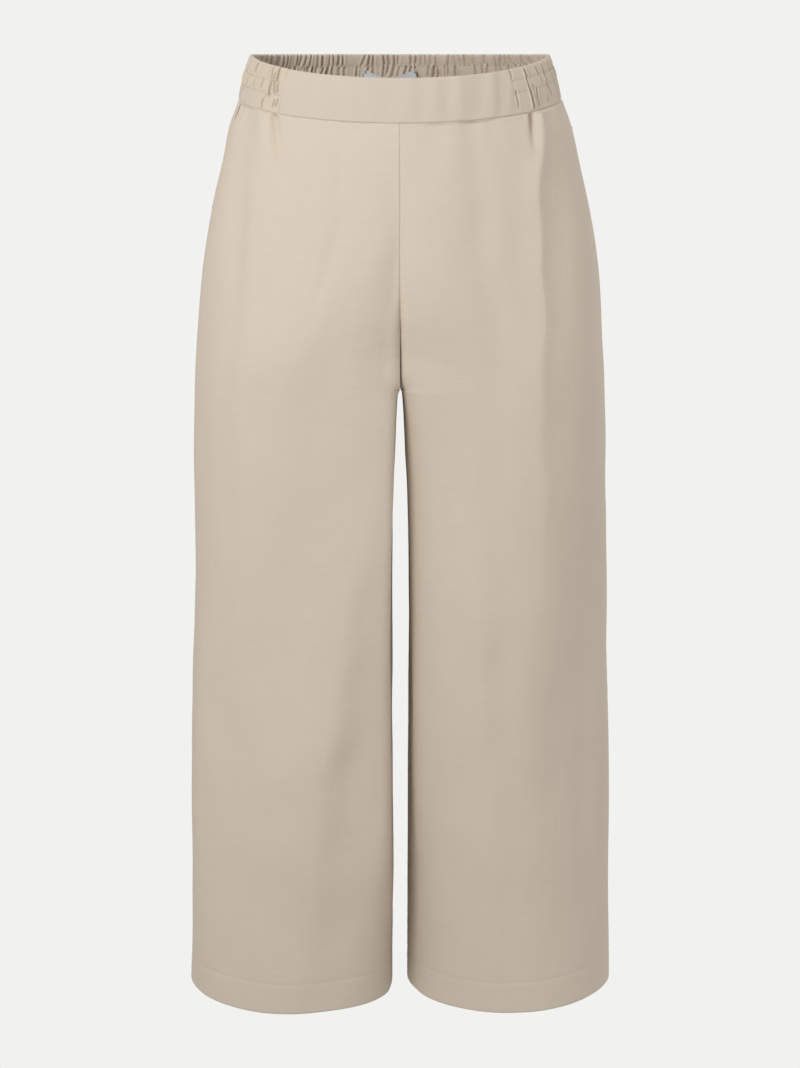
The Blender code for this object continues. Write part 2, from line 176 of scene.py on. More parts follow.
# half_gap is half the gap between the legs. The other columns are, for each side, the power that shapes the
# inner half of a leg's front: 1 for an ellipse and less for a front that stays flat up to the inner edge.
LegForm = namedtuple("LegForm", "height half_gap right_corner left_corner")
LEG_FORMS = (
    LegForm(-0.2300, 0.00002, 0.60, 0.95),
    LegForm(-0.2440, 0.00002, 0.46, 0.72),
    LegForm(-0.2640, 0.00002, 0.19, 0.32),
    LegForm(-0.2740, 0.00002, 0.115, 0.195),
    LegForm(-0.2800, 0.00002, 0.089, 0.154),
    LegForm(-0.2830, 0.00002, 0.0808, 0.1408),
    LegForm(CROTCH, 0.00002, 0.08, 0.14),
    LegForm(-0.2850, 0.00025, 0.0795, 0.1400),
    LegForm(-0.2900, 0.0020, 0.075, 0.144),
    LegForm(-0.3050, 0.0034, 0.06, 0.18),
    LegForm(-0.3440, 0.0052, 0.06, 0.26),
    LegForm(-0.3830, 0.0067, 0.06, 0.32),
    LegForm(-0.4610, 0.0082, 0.06, 0.32),
    LegForm(-0.6000, 0.0085, 0.10, 0.36),
    LegForm(-0.7400, 0.0080, 0.16, 0.54),
    LegForm(HEM, 0.0074, 0.65, 1.00),
)

# The pockets' mouths lie in the side seams. The front edge stands off the seam down to open_to.
Mouth = namedtuple("Mouth", "open_to closed_at gape")
MOUTHS = {"right": Mouth(-0.0450, -0.1250, 0.0190), "left": Mouth(-0.0450, -0.1700, 0.0010)}
OPEN_GAPE = 0.0050  # a mouth that gapes by more than this stands open
MOUTH_LIFT = 0.0004  # the folded edge of an open mouth stands proud by this
MOUTH_LIFT_REACH = 0.010
MOUTH_SINK = 0.0006  # and the back of the garment falls in behind it by this
MOUTH_SINK_REACH = 0.014

SIDES = {"right": -1, "left": 1}


def mix(first, last, share):
    return first + (last - first) * share


def ease(share):
    """0 to 1 with level ends."""
    share = np.clip(share, 0.0, 1.0)
    return share * share * (3.0 - 2.0 * share)


def read(table, column, height):
    """A column of a table at heights between its rows, along a smooth curve through them."""
    heights = np.array([row.height for row in table])
    values = np.array([getattr(row, column) for row in table])
    last = len(table) - 1
    before = np.maximum(np.arange(last + 1) - 1, 0)
    after = np.minimum(np.arange(last + 1) + 1, last)
    slope = (values[after] - values[before]) / (heights[after] - heights[before])
    height = np.clip(height, heights[last], heights[0])
    row = np.clip(np.searchsorted(-heights, -height, side="right") - 1, 0, last - 1)
    span = heights[row + 1] - heights[row]
    share = (height - heights[row]) / span
    pull = slope[row] * (1.0 - share) - slope[row + 1] * share
    return mix(values[row], values[row + 1], ease(share)) + share * (1.0 - share) * span * pull


def front_dip(height, frontness):
    fade = ease((height - DIP_END) / (WAIST_SEAM - DIP_END))
    return FRONT_DIP * np.maximum(frontness, 0.0) ** DIP_POWER * fade


def hem_lift(height, outwardness):
    fade = ease((HEM_LIFT_TOP - height) / (HEM_LIFT_TOP - HEM))
    return HEM_LIFT * np.maximum(outwardness, 0.0) ** HEM_LIFT_POWER * fade


def fork_share(height):
    return np.clip((height - CROTCH) / (FORK_TOP - CROTCH), 0.0, 1.0)


def fork_inward(height):
    """Cosine of the angle at which the two legs' sections meet above the crotch."""
    share = fork_share(height)
    risen = share * share * (1.0 + FORK_ROUNDING) / (share + FORK_ROUNDING)
    return np.clip((1.0 - risen) ** FORK_POWER, 1e-9, 1.0)


def angle_of(height, turn):
    """Angle round a leg's own centre. turn runs from the centre front or inseam (0) over the side seam (0.5)
    to the centre back or inseam (1)."""
    start = np.where(height <= CROTCH, 0.0, np.arccos(fork_inward(height)))
    to_side = mix(start, math.pi, 2 * turn)
    to_back = mix(math.pi, 2 * math.pi - start, 2 * turn - 1)
    return np.where(turn <= 0.5, to_side, to_back)


def point_at(side_name, height, angle):
    """Points of one side of the body."""
    half_width = read(SECTIONS, "half_width", height)
    half_gap = read(LEG_FORMS, "half_gap", height)
    leg = height <= CROTCH
    centre = np.where(leg, (half_width + half_gap) / 2, half_width / 2 * (1.0 - ease(fork_share(height))))
    inner_radius = np.where(leg, (half_width - half_gap) / 2, centre / fork_inward(height))
    outer_radius = np.where(leg, (half_width - half_gap) / 2, half_width - centre)
    across = np.cos(angle)
    frontness = np.sin(angle)
    front = read(SECTIONS, "front_depth", height)
    back = read(SECTIONS, "back_depth", height)
    corner = np.where((across > 0) & (height < FORK_TOP), read(LEG_FORMS, side_name + "_corner", height), 1.0)
    reach = np.where(frontness > 0, np.abs(frontness) ** corner, frontness)
    x = centre - np.where(across > 0, inner_radius, outer_radius) * across
    y = -np.where(frontness > 0, front, back) * reach
    z = height - front_dip(height, frontness) + hem_lift(height, -across)
    return np.stack((SIDES[side_name] * x, y, z), axis=-1)


def body_surface(side_name, height, turn):
    return point_at(side_name, height, angle_of(height, turn))


def body_normal(side_name, height, turn):
    """Outward directions of the surface."""
    step = 0.002
    angle = angle_of(height, turn)
    along = point_at(side_name, height, angle + step) - point_at(side_name, height, angle - step)
    down = point_at(side_name, height - step, angle) - point_at(side_name, height + step, angle)
    normal = np.cross(down, along) * SIDES[side_name]
    level = (height > WAIST_SEAM - step) | (height < HEM_STITCH)
    normal[..., 2] = np.where(level, 0.0, normal[..., 2])
    return normal / np.linalg.norm(normal, axis=-1, keepdims=True)


# Soft folds, listed one by one. leg is the one that they lie on, face the way they look, and x is read as the
# distance to the front on an outer or inner face. bow bends the fold sideways halfway down. rise is negative
# for a trough, and lean makes its flank on the side of growing x steeper. A fold that hangs starts at full
# depth at the waist seam, and the others fade in. power is 2 for a round fold and less for a creased one.
FOLD_FIELDS = "leg face top bottom x_top x_bottom bow width_top width_bottom rise lean hangs power"
Fold = namedtuple("Fold", FOLD_FIELDS, defaults=(2.0,))
FOLDS = (
    # the middle of the front: the cloth sinks towards the seam and puckers above the crotch
    Fold("both", "front", -0.045, -0.330, -0.002, -0.001, 0.000, 0.013, 0.012, -0.0050, 0.0, False),
    Fold("both", "front", -0.170, -0.310, 0.000, 0.000, 0.000, 0.0022, 0.0030, -0.0026, 0.0, False),
    Fold("both", "front", -0.190, -0.310, 0.0062, 0.0075, 0.000, 0.0040, 0.0050, 0.0014, 0.0, False),
    Fold("both", "front", -0.190, -0.310, -0.0070, -0.0065, 0.000, 0.0040, 0.0050, 0.0013, 0.0, False),
    # front of the wearer's right leg
    Fold("right", "front", -0.019, -0.110, -0.119, -0.103, -0.001, 0.0026, 0.0062, -0.0085, -0.2, True, 1.6),
    Fold("right", "front", -0.024, -0.100, -0.1290, -0.1120, -0.002, 0.0040, 0.0090, 0.0016, 0.0, True),
    Fold("right", "front", -0.020, -0.640, -0.142, -0.166, -0.008, 0.0100, 0.0130, -0.0034, 0.0, True),
    Fold("right", "front", -0.030, -0.820, -0.122, -0.134, -0.018, 0.0120, 0.0190, 0.0030, 0.0, True),
    Fold("right", "front", -0.070, -0.240, -0.083, -0.086, 0.000, 0.0055, 0.0065, -0.0013, 0.2, False),
    Fold("right", "front", -0.040, -0.200, -0.050, -0.060, 0.000, 0.0050, 0.0060, -0.0012, 0.3, False),
    Fold("right", "front", -0.120, -0.235, -0.050, -0.086, 0.000, 0.0055, 0.0070, -0.0014, 0.2, False),
    Fold("right", "front", -0.080, -0.420, -0.034, -0.040, 0.000, 0.0150, 0.0200, 0.0018, 0.0, False),
    Fold("right", "front", -0.340, -0.990, -0.024, -0.112, -0.010, 0.0270, 0.0400, 0.0140, 0.35, False),
    Fold("right", "front", -0.520, -0.960, -0.014, -0.034, 0.000, 0.0170, 0.0230, -0.0014, 0.0, False),
    Fold("right", "front", -0.430, -0.960, -0.160, -0.152, 0.004, 0.0180, 0.0240, -0.0026, 0.0, False),
    Fold("right", "front", -0.470, -0.660, -0.074, -0.092, -0.006, 0.0080, 0.0090, 0.0009, 0.3, False),
    Fold("right", "front", -0.620, -0.930, -0.124, -0.118, 0.003, 0.0150, 0.0180, -0.0012, 0.0, False),
    # front of the wearer's left leg
    Fold("left", "front", -0.019, -0.082, 0.1200, 0.1220, 0.000, 0.0026, 0.0042, -0.0130, -0.3, True, 1.6),
    Fold("left", "front", -0.022, -0.110, 0.1255, 0.1260, 0.000, 0.0040, 0.0070, 0.0010, 0.0, True),
    Fold("left", "front", -0.022, -0.090, 0.079, 0.098, 0.000, 0.0045, 0.0080, -0.0018, 0.0, True),
    Fold("left", "front", -0.028, -0.150, 0.036, 0.009, 0.000, 0.0130, 0.0160, -0.0020, 0.0, True),
    Fold("left", "front", -0.024, -0.480, 0.062, 0.098, 0.006, 0.0120, 0.0210, -0.0032, 0.0, True),
    Fold("left", "front", -0.160, -0.330, 0.086, 0.104, 0.000, 0.0120, 0.0160, -0.0018, 0.2, False),
    Fold("left", "front", -0.020, -0.620, 0.1245, 0.1410, -0.003, 0.0105, 0.0150, 0.0080, 0.0, True, 1.4),
    Fold("left", "front", -0.022, -0.600, 0.174, 0.182, 0.000, 0.0280, 0.0300, 0.0090, 0.0, True),
    Fold("left", "front", -0.100, -0.400, 0.036, 0.036, 0.000, 0.0160, 0.0180, 0.0022, 0.0, False),
    Fold("left", "front", -0.280, -0.560, 0.052, 0.034, 0.000, 0.0090, 0.0120, -0.0012, 0.0, False),
    Fold("left", "front", -0.250, -0.990, 0.058, 0.092, 0.003, 0.0200, 0.0270, 0.0070, 0.35, False),
    Fold("left", "front", -0.380, -0.950, 0.168, 0.170, 0.000, 0.0380, 0.0420, -0.0130, 0.0, False),
    Fold("left", "front", -0.330, -0.960, 0.028, 0.026, 0.000, 0.0100, 0.0130, -0.0012, 0.0, False),
    Fold("left", "front", -0.460, -0.680, 0.098, 0.120, 0.006, 0.0140, 0.0160, 0.0007, 0.3, False),
    # back of the wearer's right leg
    Fold("right", "back", -0.225, -0.430, -0.030, -0.132, 0.010, 0.0140, 0.0220, -0.0081, 0.2, False),
    Fold("right", "back", -0.262, -0.380, -0.014, -0.076, 0.006, 0.0070, 0.0100, -0.0045, 0.2, False),
    Fold("right", "back", -0.240, -0.470, -0.052, -0.150, 0.012, 0.0150, 0.0200, 0.0049, 0.0, False),
    Fold("right", "back", -0.300, -0.420, -0.060, -0.118, 0.004, 0.0060, 0.0090, -0.0024, 0.0, False),
    Fold("right", "back", -0.380, -0.960, -0.092, -0.078, -0.004, 0.0240, 0.0320, 0.0093, 0.3, False),
    Fold("right", "back", -0.430, -0.960, -0.042, -0.034, 0.000, 0.0160, 0.0200, -0.0065, 0.0, False),
    Fold("right", "back", -0.470, -0.960, -0.132, -0.128, 0.003, 0.0180, 0.0220, -0.0061, 0.0, False),
    Fold("right", "back", -0.520, -0.700, -0.108, -0.098, 0.006, 0.0090, 0.0110, -0.0026, 0.0, False),
    Fold("right", "back", -0.600, -0.800, -0.064, -0.070, 0.004, 0.0080, 0.0100, 0.0024, 0.0, False),
    Fold("right", "back", -0.050, -0.330, -0.150, -0.158, 0.000, 0.0140, 0.0180, -0.0053, 0.0, False),
    Fold("right", "back", -0.060, -0.250, -0.072, -0.084, 0.004, 0.0160, 0.0200, 0.0041, 0.0, False),
    Fold("right", "back", -0.020, -0.150, -0.112, -0.092, 0.003, 0.0045, 0.0120, -0.0095, 0.2, True),
    Fold("right", "back", -0.020, -0.120, -0.042, -0.050, 0.000, 0.0040, 0.0110, -0.0068, 0.0, True),
    # back of the wearer's left leg
    Fold("left", "back", -0.235, -0.455, 0.028, 0.124, -0.010, 0.0150, 0.0220, -0.0089, -0.2, False),
    Fold("left", "back", -0.270, -0.400, 0.012, 0.066, -0.006, 0.0070, 0.0100, -0.0049, -0.2, False),
    Fold("left", "back", -0.250, -0.500, 0.050, 0.146, -0.014, 0.0150, 0.0210, 0.0053, 0.0, False),
    Fold("left", "back", -0.315, -0.430, 0.072, 0.120, 0.004, 0.0060, 0.0090, -0.0026, 0.0, False),
    Fold("left", "back", -0.360, -0.960, 0.112, 0.094, 0.004, 0.0240, 0.0320, 0.0089, -0.3, False),
    Fold("left", "back", -0.450, -0.960, 0.052, 0.060, 0.004, 0.0160, 0.0200, 0.0049, 0.0, False),
    Fold("left", "back", -0.410, -0.960, 0.030, 0.028, 0.000, 0.0140, 0.0160, -0.0057, 0.0, False),
    Fold("left", "back", -0.480, -0.960, 0.146, 0.140, 0.000, 0.0160, 0.0200, -0.0065, 0.0, False),
    Fold("left", "back", -0.560, -0.760, 0.080, 0.092, -0.005, 0.0090, 0.0110, -0.0026, 0.0, False),
    Fold("left", "back", -0.640, -0.830, 0.124, 0.116, 0.004, 0.0080, 0.0100, 0.0024, 0.0, False),
    Fold("left", "back", -0.040, -0.300, 0.140, 0.152, 0.000, 0.0130, 0.0170, -0.0049, 0.0, False),
    Fold("left", "back", -0.070, -0.260, 0.066, 0.060, -0.004, 0.0150, 0.0190, 0.0045, 0.0, False),
    Fold("left", "back", -0.020, -0.165, 0.098, 0.082, -0.003, 0.0045, 0.0130, -0.0097, 0.2, True),
    Fold("left", "back", -0.020, -0.110, 0.030, 0.040, 0.000, 0.0040, 0.0100, -0.0065, 0.0, True),
    Fold("left", "back", -0.020, -0.260, 0.128, 0.136, 0.000, 0.0100, 0.0160, 0.0049, 0.0, True),
    # outer sides
    Fold("right", "outer", -0.140, -0.520, -0.020, -0.032, 0.000, 0.0160, 0.0200, 0.0028, 0.0, False),
    Fold("right", "outer", -0.200, -0.700, 0.034, 0.020, 0.005, 0.0180, 0.0220, -0.0036, 0.2, False),
    Fold("right", "outer", -0.420, -0.960, -0.052, -0.060, 0.000, 0.0180, 0.0220, 0.0036, 0.0, False),
    Fold("right", "outer", -0.400, -0.960, 0.066, 0.058, 0.000, 0.0180, 0.0200, 0.0039, -0.2, False),
    Fold("right", "outer", -0.560, -0.960, -0.006, -0.004, 0.000, 0.0160, 0.0180, -0.0031, 0.0, False),
    Fold("left", "outer", -0.110, -0.480, 0.018, 0.030, 0.000, 0.0160, 0.0200, -0.0031, 0.0, False),
    Fold("left", "outer", -0.220, -0.760, -0.030, -0.022, -0.005, 0.0170, 0.0210, 0.0034, 0.2, False),
    Fold("left", "outer", -0.440, -0.960, 0.050, 0.056, 0.000, 0.0180, 0.0220, 0.0039, 0.0, False),
    Fold("left", "outer", -0.380, -0.960, -0.068, -0.064, 0.000, 0.0170, 0.0190, -0.0034, 0.0, False),
    Fold("left", "outer", -0.600, -0.960, 0.010, 0.006, 0.000, 0.0150, 0.0170, -0.0028, 0.0, False),
    # inner sides
    Fold("right", "inner", -0.340, -0.960, -0.044, -0.050, 0.000, 0.0170, 0.0190, 0.0018, 0.0, False),
    Fold("right", "inner", -0.360, -0.960, 0.034, 0.040, 0.000, 0.0190, 0.0210, -0.0022, 0.0, False),
    Fold("left", "inner", -0.340, -0.960, -0.052, -0.042, 0.000, 0.0170, 0.0190, -0.0020, 0.0, False),
    Fold("left", "inner", -0.360, -0.960, 0.048, 0.036, 0.000, 0.0190, 0.0210, 0.0018, 0.0, False),
)
FOLD_WAVER = 0.0030  # how far a fold's line strays from its curve
WAVER_LIMIT = 0.3  # and no further than this share of the fold's half width
FOLD_UNEVENNESS = 0.14  # how much stronger and weaker a fold is along its length
FACING_POWER = 0.8  # a fold fades by this power as the surface turns away from its face
FOLD_FADE_IN = 0.40  # shares of a fold's length over which it fades in and out
FOLD_FADE_OUT = 0.45
SEWN_REACH = 0.0022  # the waist seam holds the cloth flat down to this far below it
FACES = {"front": (0, -1), "back": (0, 1), "outer": (1, 0), "inner": (-1, 0)}


def stray(z, seed):
    """A slow uneven wave along the leg, between about -1 and 1."""
    return 0.6 * np.sin(34.0 * z + 2.3 * seed) + 0.4 * np.sin(79.0 * z + 4.1 * seed)


def fold_rise(side, points, normals):
    """Height of the soft folds at points of the smooth surface of one side."""
    rise = np.zeros(points.shape[:-1])
    z = points[..., 2]
    for seed, fold in enumerate(FOLDS):
        if SIDES.get(fold.leg, side) != side:
            continue
        look_x, look_y = FACES[fold.face]
        facing = normals[..., 0] * look_x * side + normals[..., 1] * look_y
        place = points[..., 0] if look_x == 0 else points[..., 1]
        share = np.clip((fold.top - z) / (fold.top - fold.bottom), 0.0, 1.0)
        half_width = mix(fold.width_top, fold.width_bottom, share)
        line = mix(fold.x_top, fold.x_bottom, share) + fold.bow * np.sin(math.pi * share)
        waver = np.minimum(FOLD_WAVER, WAVER_LIMIT * half_width)
        offset = (place - line - waver * stray(z, seed)) / half_width
        offset = offset * (1.0 + fold.lean * np.sign(offset))
        fade_in = 1.0 if fold.hangs else ease(share / FOLD_FADE_IN)
        fade = fade_in * ease((1.0 - share) / (1.0 if fold.hangs else FOLD_FADE_OUT))
        strength = fade * (1.0 + FOLD_UNEVENNESS * stray(0.7 * z, seed + 9))
        profile = np.exp(-np.abs(offset) ** fold.power)
        rise += fold.rise * profile * strength * np.clip(facing, 0.0, 1.0) ** FACING_POWER
    return rise


# Gathers that run down from the elastic. The first ones are listed where the front shows them, and
# the others lie round the back at uneven distances. A bearing of 0 is the centre front, a quarter turn the
# wearer's left.
Gather = namedtuple("Gather", "bearing depth half_width length")
FRONT_GATHERS = (
    Gather(-1.43, 0.0012, 0.0034, 0.026),
    Gather(-1.31, 0.0009, 0.0028, 0.018),
    Gather(-1.20, 0.0012, 0.0030, 0.030),
    Gather(-1.07, 0.0010, 0.0026, 0.016),
    Gather(-0.99, 0.0008, 0.0024, 0.014),
    Gather(-0.90, 0.0006, 0.0024, 0.012),
    Gather(0.83, 0.0007, 0.0026, 0.014),
    Gather(1.03, 0.0014, 0.0030, 0.030),
    Gather(1.14, 0.0010, 0.0026, 0.020),
    Gather(1.27, 0.0013, 0.0032, 0.034),
    Gather(1.40, 0.0009, 0.0028, 0.018),
)
BACK_START = 1.50  # bearing from which the gathers are spread at random
GATHER_SEED = 21
GATHER_HALF_WIDTH = (0.0024, 0.0040)
GATHER_SPACING = (0.036, 0.070)  # between two bearings
LONG_SHARE = 0.32  # of the back's gathers, which are long and deep
LONG_DEPTH = (0.0012, 0.0024)
LONG_LENGTH = (0.050, 0.120)
SHORT_DEPTH = (0.0006, 0.0015)
SHORT_LENGTH = (0.014, 0.036)


def back_gathers():
    chance = np.random.default_rng(GATHER_SEED)
    found = []
    bearing = BACK_START
    while bearing < 2 * math.pi - BACK_START:
        long_one = chance.random() < LONG_SHARE
        depth = chance.uniform(*(LONG_DEPTH if long_one else SHORT_DEPTH))
        length = chance.uniform(*(LONG_LENGTH if long_one else SHORT_LENGTH))
        found.append(Gather(bearing, depth, chance.uniform(*GATHER_HALF_WIDTH), length))
        bearing += chance.uniform(*GATHER_SPACING)
    return found


GATHERS = list(FRONT_GATHERS) + back_gathers()
GATHER_SPREAD = 2.4  # how much wider a gather is at its lower end
GATHER_WAVER = 0.002  # how far its line strays there


def bearing_of(height, points):
    """Bearing round the waist of points above the fork, of either side."""
    half_width = read(SECTIONS, "half_width", height)
    depth = np.where(
        points[..., 1] < 0, read(SECTIONS, "front_depth", height), read(SECTIONS, "back_depth", height)
    )
    return np.arctan2(points[..., 0] / half_width, -points[..., 1] / depth) % (2 * math.pi)


def gather_rise(height, points):
    """Depth of the gathers below the waist seam."""
    rise = np.zeros(height.shape)
    drop = WAIST_SEAM - height
    bearing = bearing_of(height, points)
    radius = np.hypot(points[..., 0], points[..., 1])
    for seed, gather in enumerate(GATHERS):
        share = np.clip(drop / gather.length, 0.0, 1.0)
        turn = (bearing - gather.bearing + math.pi) % (2 * math.pi) - math.pi
        width = gather.half_width * mix(1.0, GATHER_SPREAD, share)
        offset = (turn * radius - GATHER_WAVER * stray(height, seed) * share) / width
        rise -= gather.depth * np.exp(-offset * offset) * (1.0 - ease(share))
    return rise


BACK_FOLDS = 7  # soft folds below the elastic on each back panel
BACK_FOLD_RISE = 0.0028
BACK_FOLD_LENGTH = 0.070
BACK_FOLD_SPREAD = 0.030


def back_fold_rise(height, turn):
    phase = np.clip(2 * turn - 1, 0.0, 1.0) * BACK_FOLDS
    length = BACK_FOLD_LENGTH + BACK_FOLD_SPREAD * np.sin(2.4 * np.floor(phase) + 1.0)
    return BACK_FOLD_RISE * np.sin(math.pi * phase) ** 2 * (1.0 - ease((WAIST_SEAM - height) / length))


Rumple = namedtuple("Rumple", "height shortest longest stretch count seed")
RUMPLES = (
    Rumple(0.00038, 0.055, 0.130, 3.6, 14, 3),
    Rumple(0.00012, 0.018, 0.038, 3.8, 20, 4),
    Rumple(0.00004, 0.006, 0.010, 3.0, 24, 5),
)


def rumple_rise(points):
    """The cloth's own unevenness: waves of three lengths, drawn out down the cloth."""
    rise = np.zeros(points.shape[:-1])
    for rumple in RUMPLES:
        chance = np.random.default_rng(rumple.seed)
        for _ in range(rumple.count):
            length = chance.uniform(rumple.shortest, rumple.longest)
            heading = chance.uniform(0, math.pi)
            way = np.array((math.cos(heading), math.sin(heading), chance.normal() / rumple.stretch))
            wave = points @ (2 * math.pi / length * way) + chance.uniform(0, 2 * math.pi)
            rise += rumple.height * np.sin(wave) / math.sqrt(rumple.count)
    return rise


SEAM_ROLL = 0.0005  # how far the cloth turns in at a seam
SEAM_ROLL_REACH = 0.0009
PUCKER = 0.00020  # small puckers beside a seam
PUCKER_REACH = 0.0060
PUCKER_SPACING = 0.0105
HEM_DIMPLE = 0.00028  # the hem's stitches pull the cloth in by this
HEM_DIMPLE_REACH = 0.0020
WAIST_SEAM_SHARE = 0.25  # of the roll and puckers
SIDE_SEAM_SHARE = 0.45  # the side seams and inseams are pressed open, so they roll in less
INSEAM_SHARE = 0.3


def seam_rise(distance, along, seed):
    """The cloth beside a seam: it rolls in at the seam itself and puckers a little."""
    roll = SEAM_ROLL * np.exp(-((distance / SEAM_ROLL_REACH) ** 2))
    wave = np.sin(2 * math.pi * along / PUCKER_SPACING + 1.8 * stray(along, seed))
    return PUCKER * wave * np.exp(-((distance / PUCKER_REACH) ** 2)) - roll


STEP_GROWTH = 0.28  # of the mesh's steps, for each length that they lie away from an end


def graded(length, finest, coarsest, fine_zone=(1.0, 1.0), in_zone=1.0):
    """Distances from 0 to length: fine steps at both ends, growing to coarse ones between, and steps shorter
    by a factor in a zone given by its shares of the length."""
    found = [0.0]
    while found[-1] < length:
        to_end = min(found[-1], max(length - found[-1], 0.0))
        step = min(finest + STEP_GROWTH * to_end, coarsest)
        if fine_zone[0] < found[-1] / length < fine_zone[1]:
            step = min(step, coarsest * in_zone)
        found.append(found[-1] + step)
    return np.array(found) * (length / found[-1])


FINEST_STEP = 0.0005
PANEL_TOP = WAIST_SEAM - CLOSED_SEAM / 2
PANEL_ROWS = np.concatenate(
    (
        PANEL_TOP - graded(PANEL_TOP - CROTCH, FINEST_STEP, 0.0032),
        CROTCH - graded(CROTCH - HEM_STITCH, FINEST_STEP, 0.0060)[1:],
        HEM_STITCH - graded(HEM_DEPTH, FINEST_STEP, 0.0030)[1:],
    )
)
MAIN_WIDTH = 0.20  # about the width of a panel's front or back, and below of its inner flank
FLANK_WIDTH = 0.11
FOLDED_ZONE = (0.48, 0.78)  # shares of a front's width where its narrowest folds lie
FRONT_COLUMNS = graded(MAIN_WIDTH, FINEST_STEP, 0.0024, FOLDED_ZONE, 0.5) / MAIN_WIDTH
BACK_COLUMNS = graded(MAIN_WIDTH, FINEST_STEP, 0.0026) / MAIN_WIDTH
FLANK_COLUMNS = graded(FLANK_WIDTH, 0.0008, 0.0060) / FLANK_WIDTH
FLANK_ANGLE = 0.35  # angle round a leg at which its front or back turns into its inner flank
LEAST_FLANK = 0.0030  # what is left of the flank's columns above the crotch
CLOSING_REACH = 0.0080  # the centre seam draws the cloth to it from this far
FINE_SURVEY = np.geomspace(1e-8, 0.01, 60)  # the surface turns sharply beside the centre seam
SURVEY = np.concatenate(([0.0], FINE_SURVEY, np.linspace(0.01, 1.0, 200)[1:]))  # from the centre to the side
EDGE_LEAST = 0.16  # square of the share of a wall's thickness that is left at its very edge


def edge_roundness(distance, wall):
    """Share of the wall's thickness that is left near its edge."""
    share = np.clip(distance / (wall / 2), 0.0, 1.0)
    return np.sqrt(np.clip(1.0 - (1.0 - share) ** 2, EDGE_LEAST, 1.0))


def wall_faces(points, normals, middle, half_wall):
    """Both faces of a wall whose middle lies off a smooth surface."""
    outer = points + normals * (middle + half_wall)[..., None]
    inner = points + normals * (middle - half_wall)[..., None]
    return outer, inner


def kept_on_side(side, points):
    """Keeps points on their own side of the centre seam."""
    points[..., 0] = side * np.maximum(side * points[..., 0], CLOSED_SEAM / 2)
    return points


def stands_open(mouth):
    return mouth.gape > OPEN_GAPE


def mouth_open(mouth, height):
    """How far a mouth has opened at each height, from 0 to 1."""
    return ease((height - mouth.closed_at) / (mouth.open_to - mouth.closed_at))


def cloth_at(side_name, height, turn):
    """The smooth surface, its outward directions and the rise of the cloth's folds over it."""
    side = SIDES[side_name]
    points = body_surface(side_name, height, turn)
    normals = body_normal(side_name, height, turn)
    rise = fold_rise(side, points, normals) + gather_rise(height, points) + back_fold_rise(height, turn)
    rise = rise * ease((WAIST_SEAM - height) / SEWN_REACH) + rumple_rise(points)
    return points, normals, rise


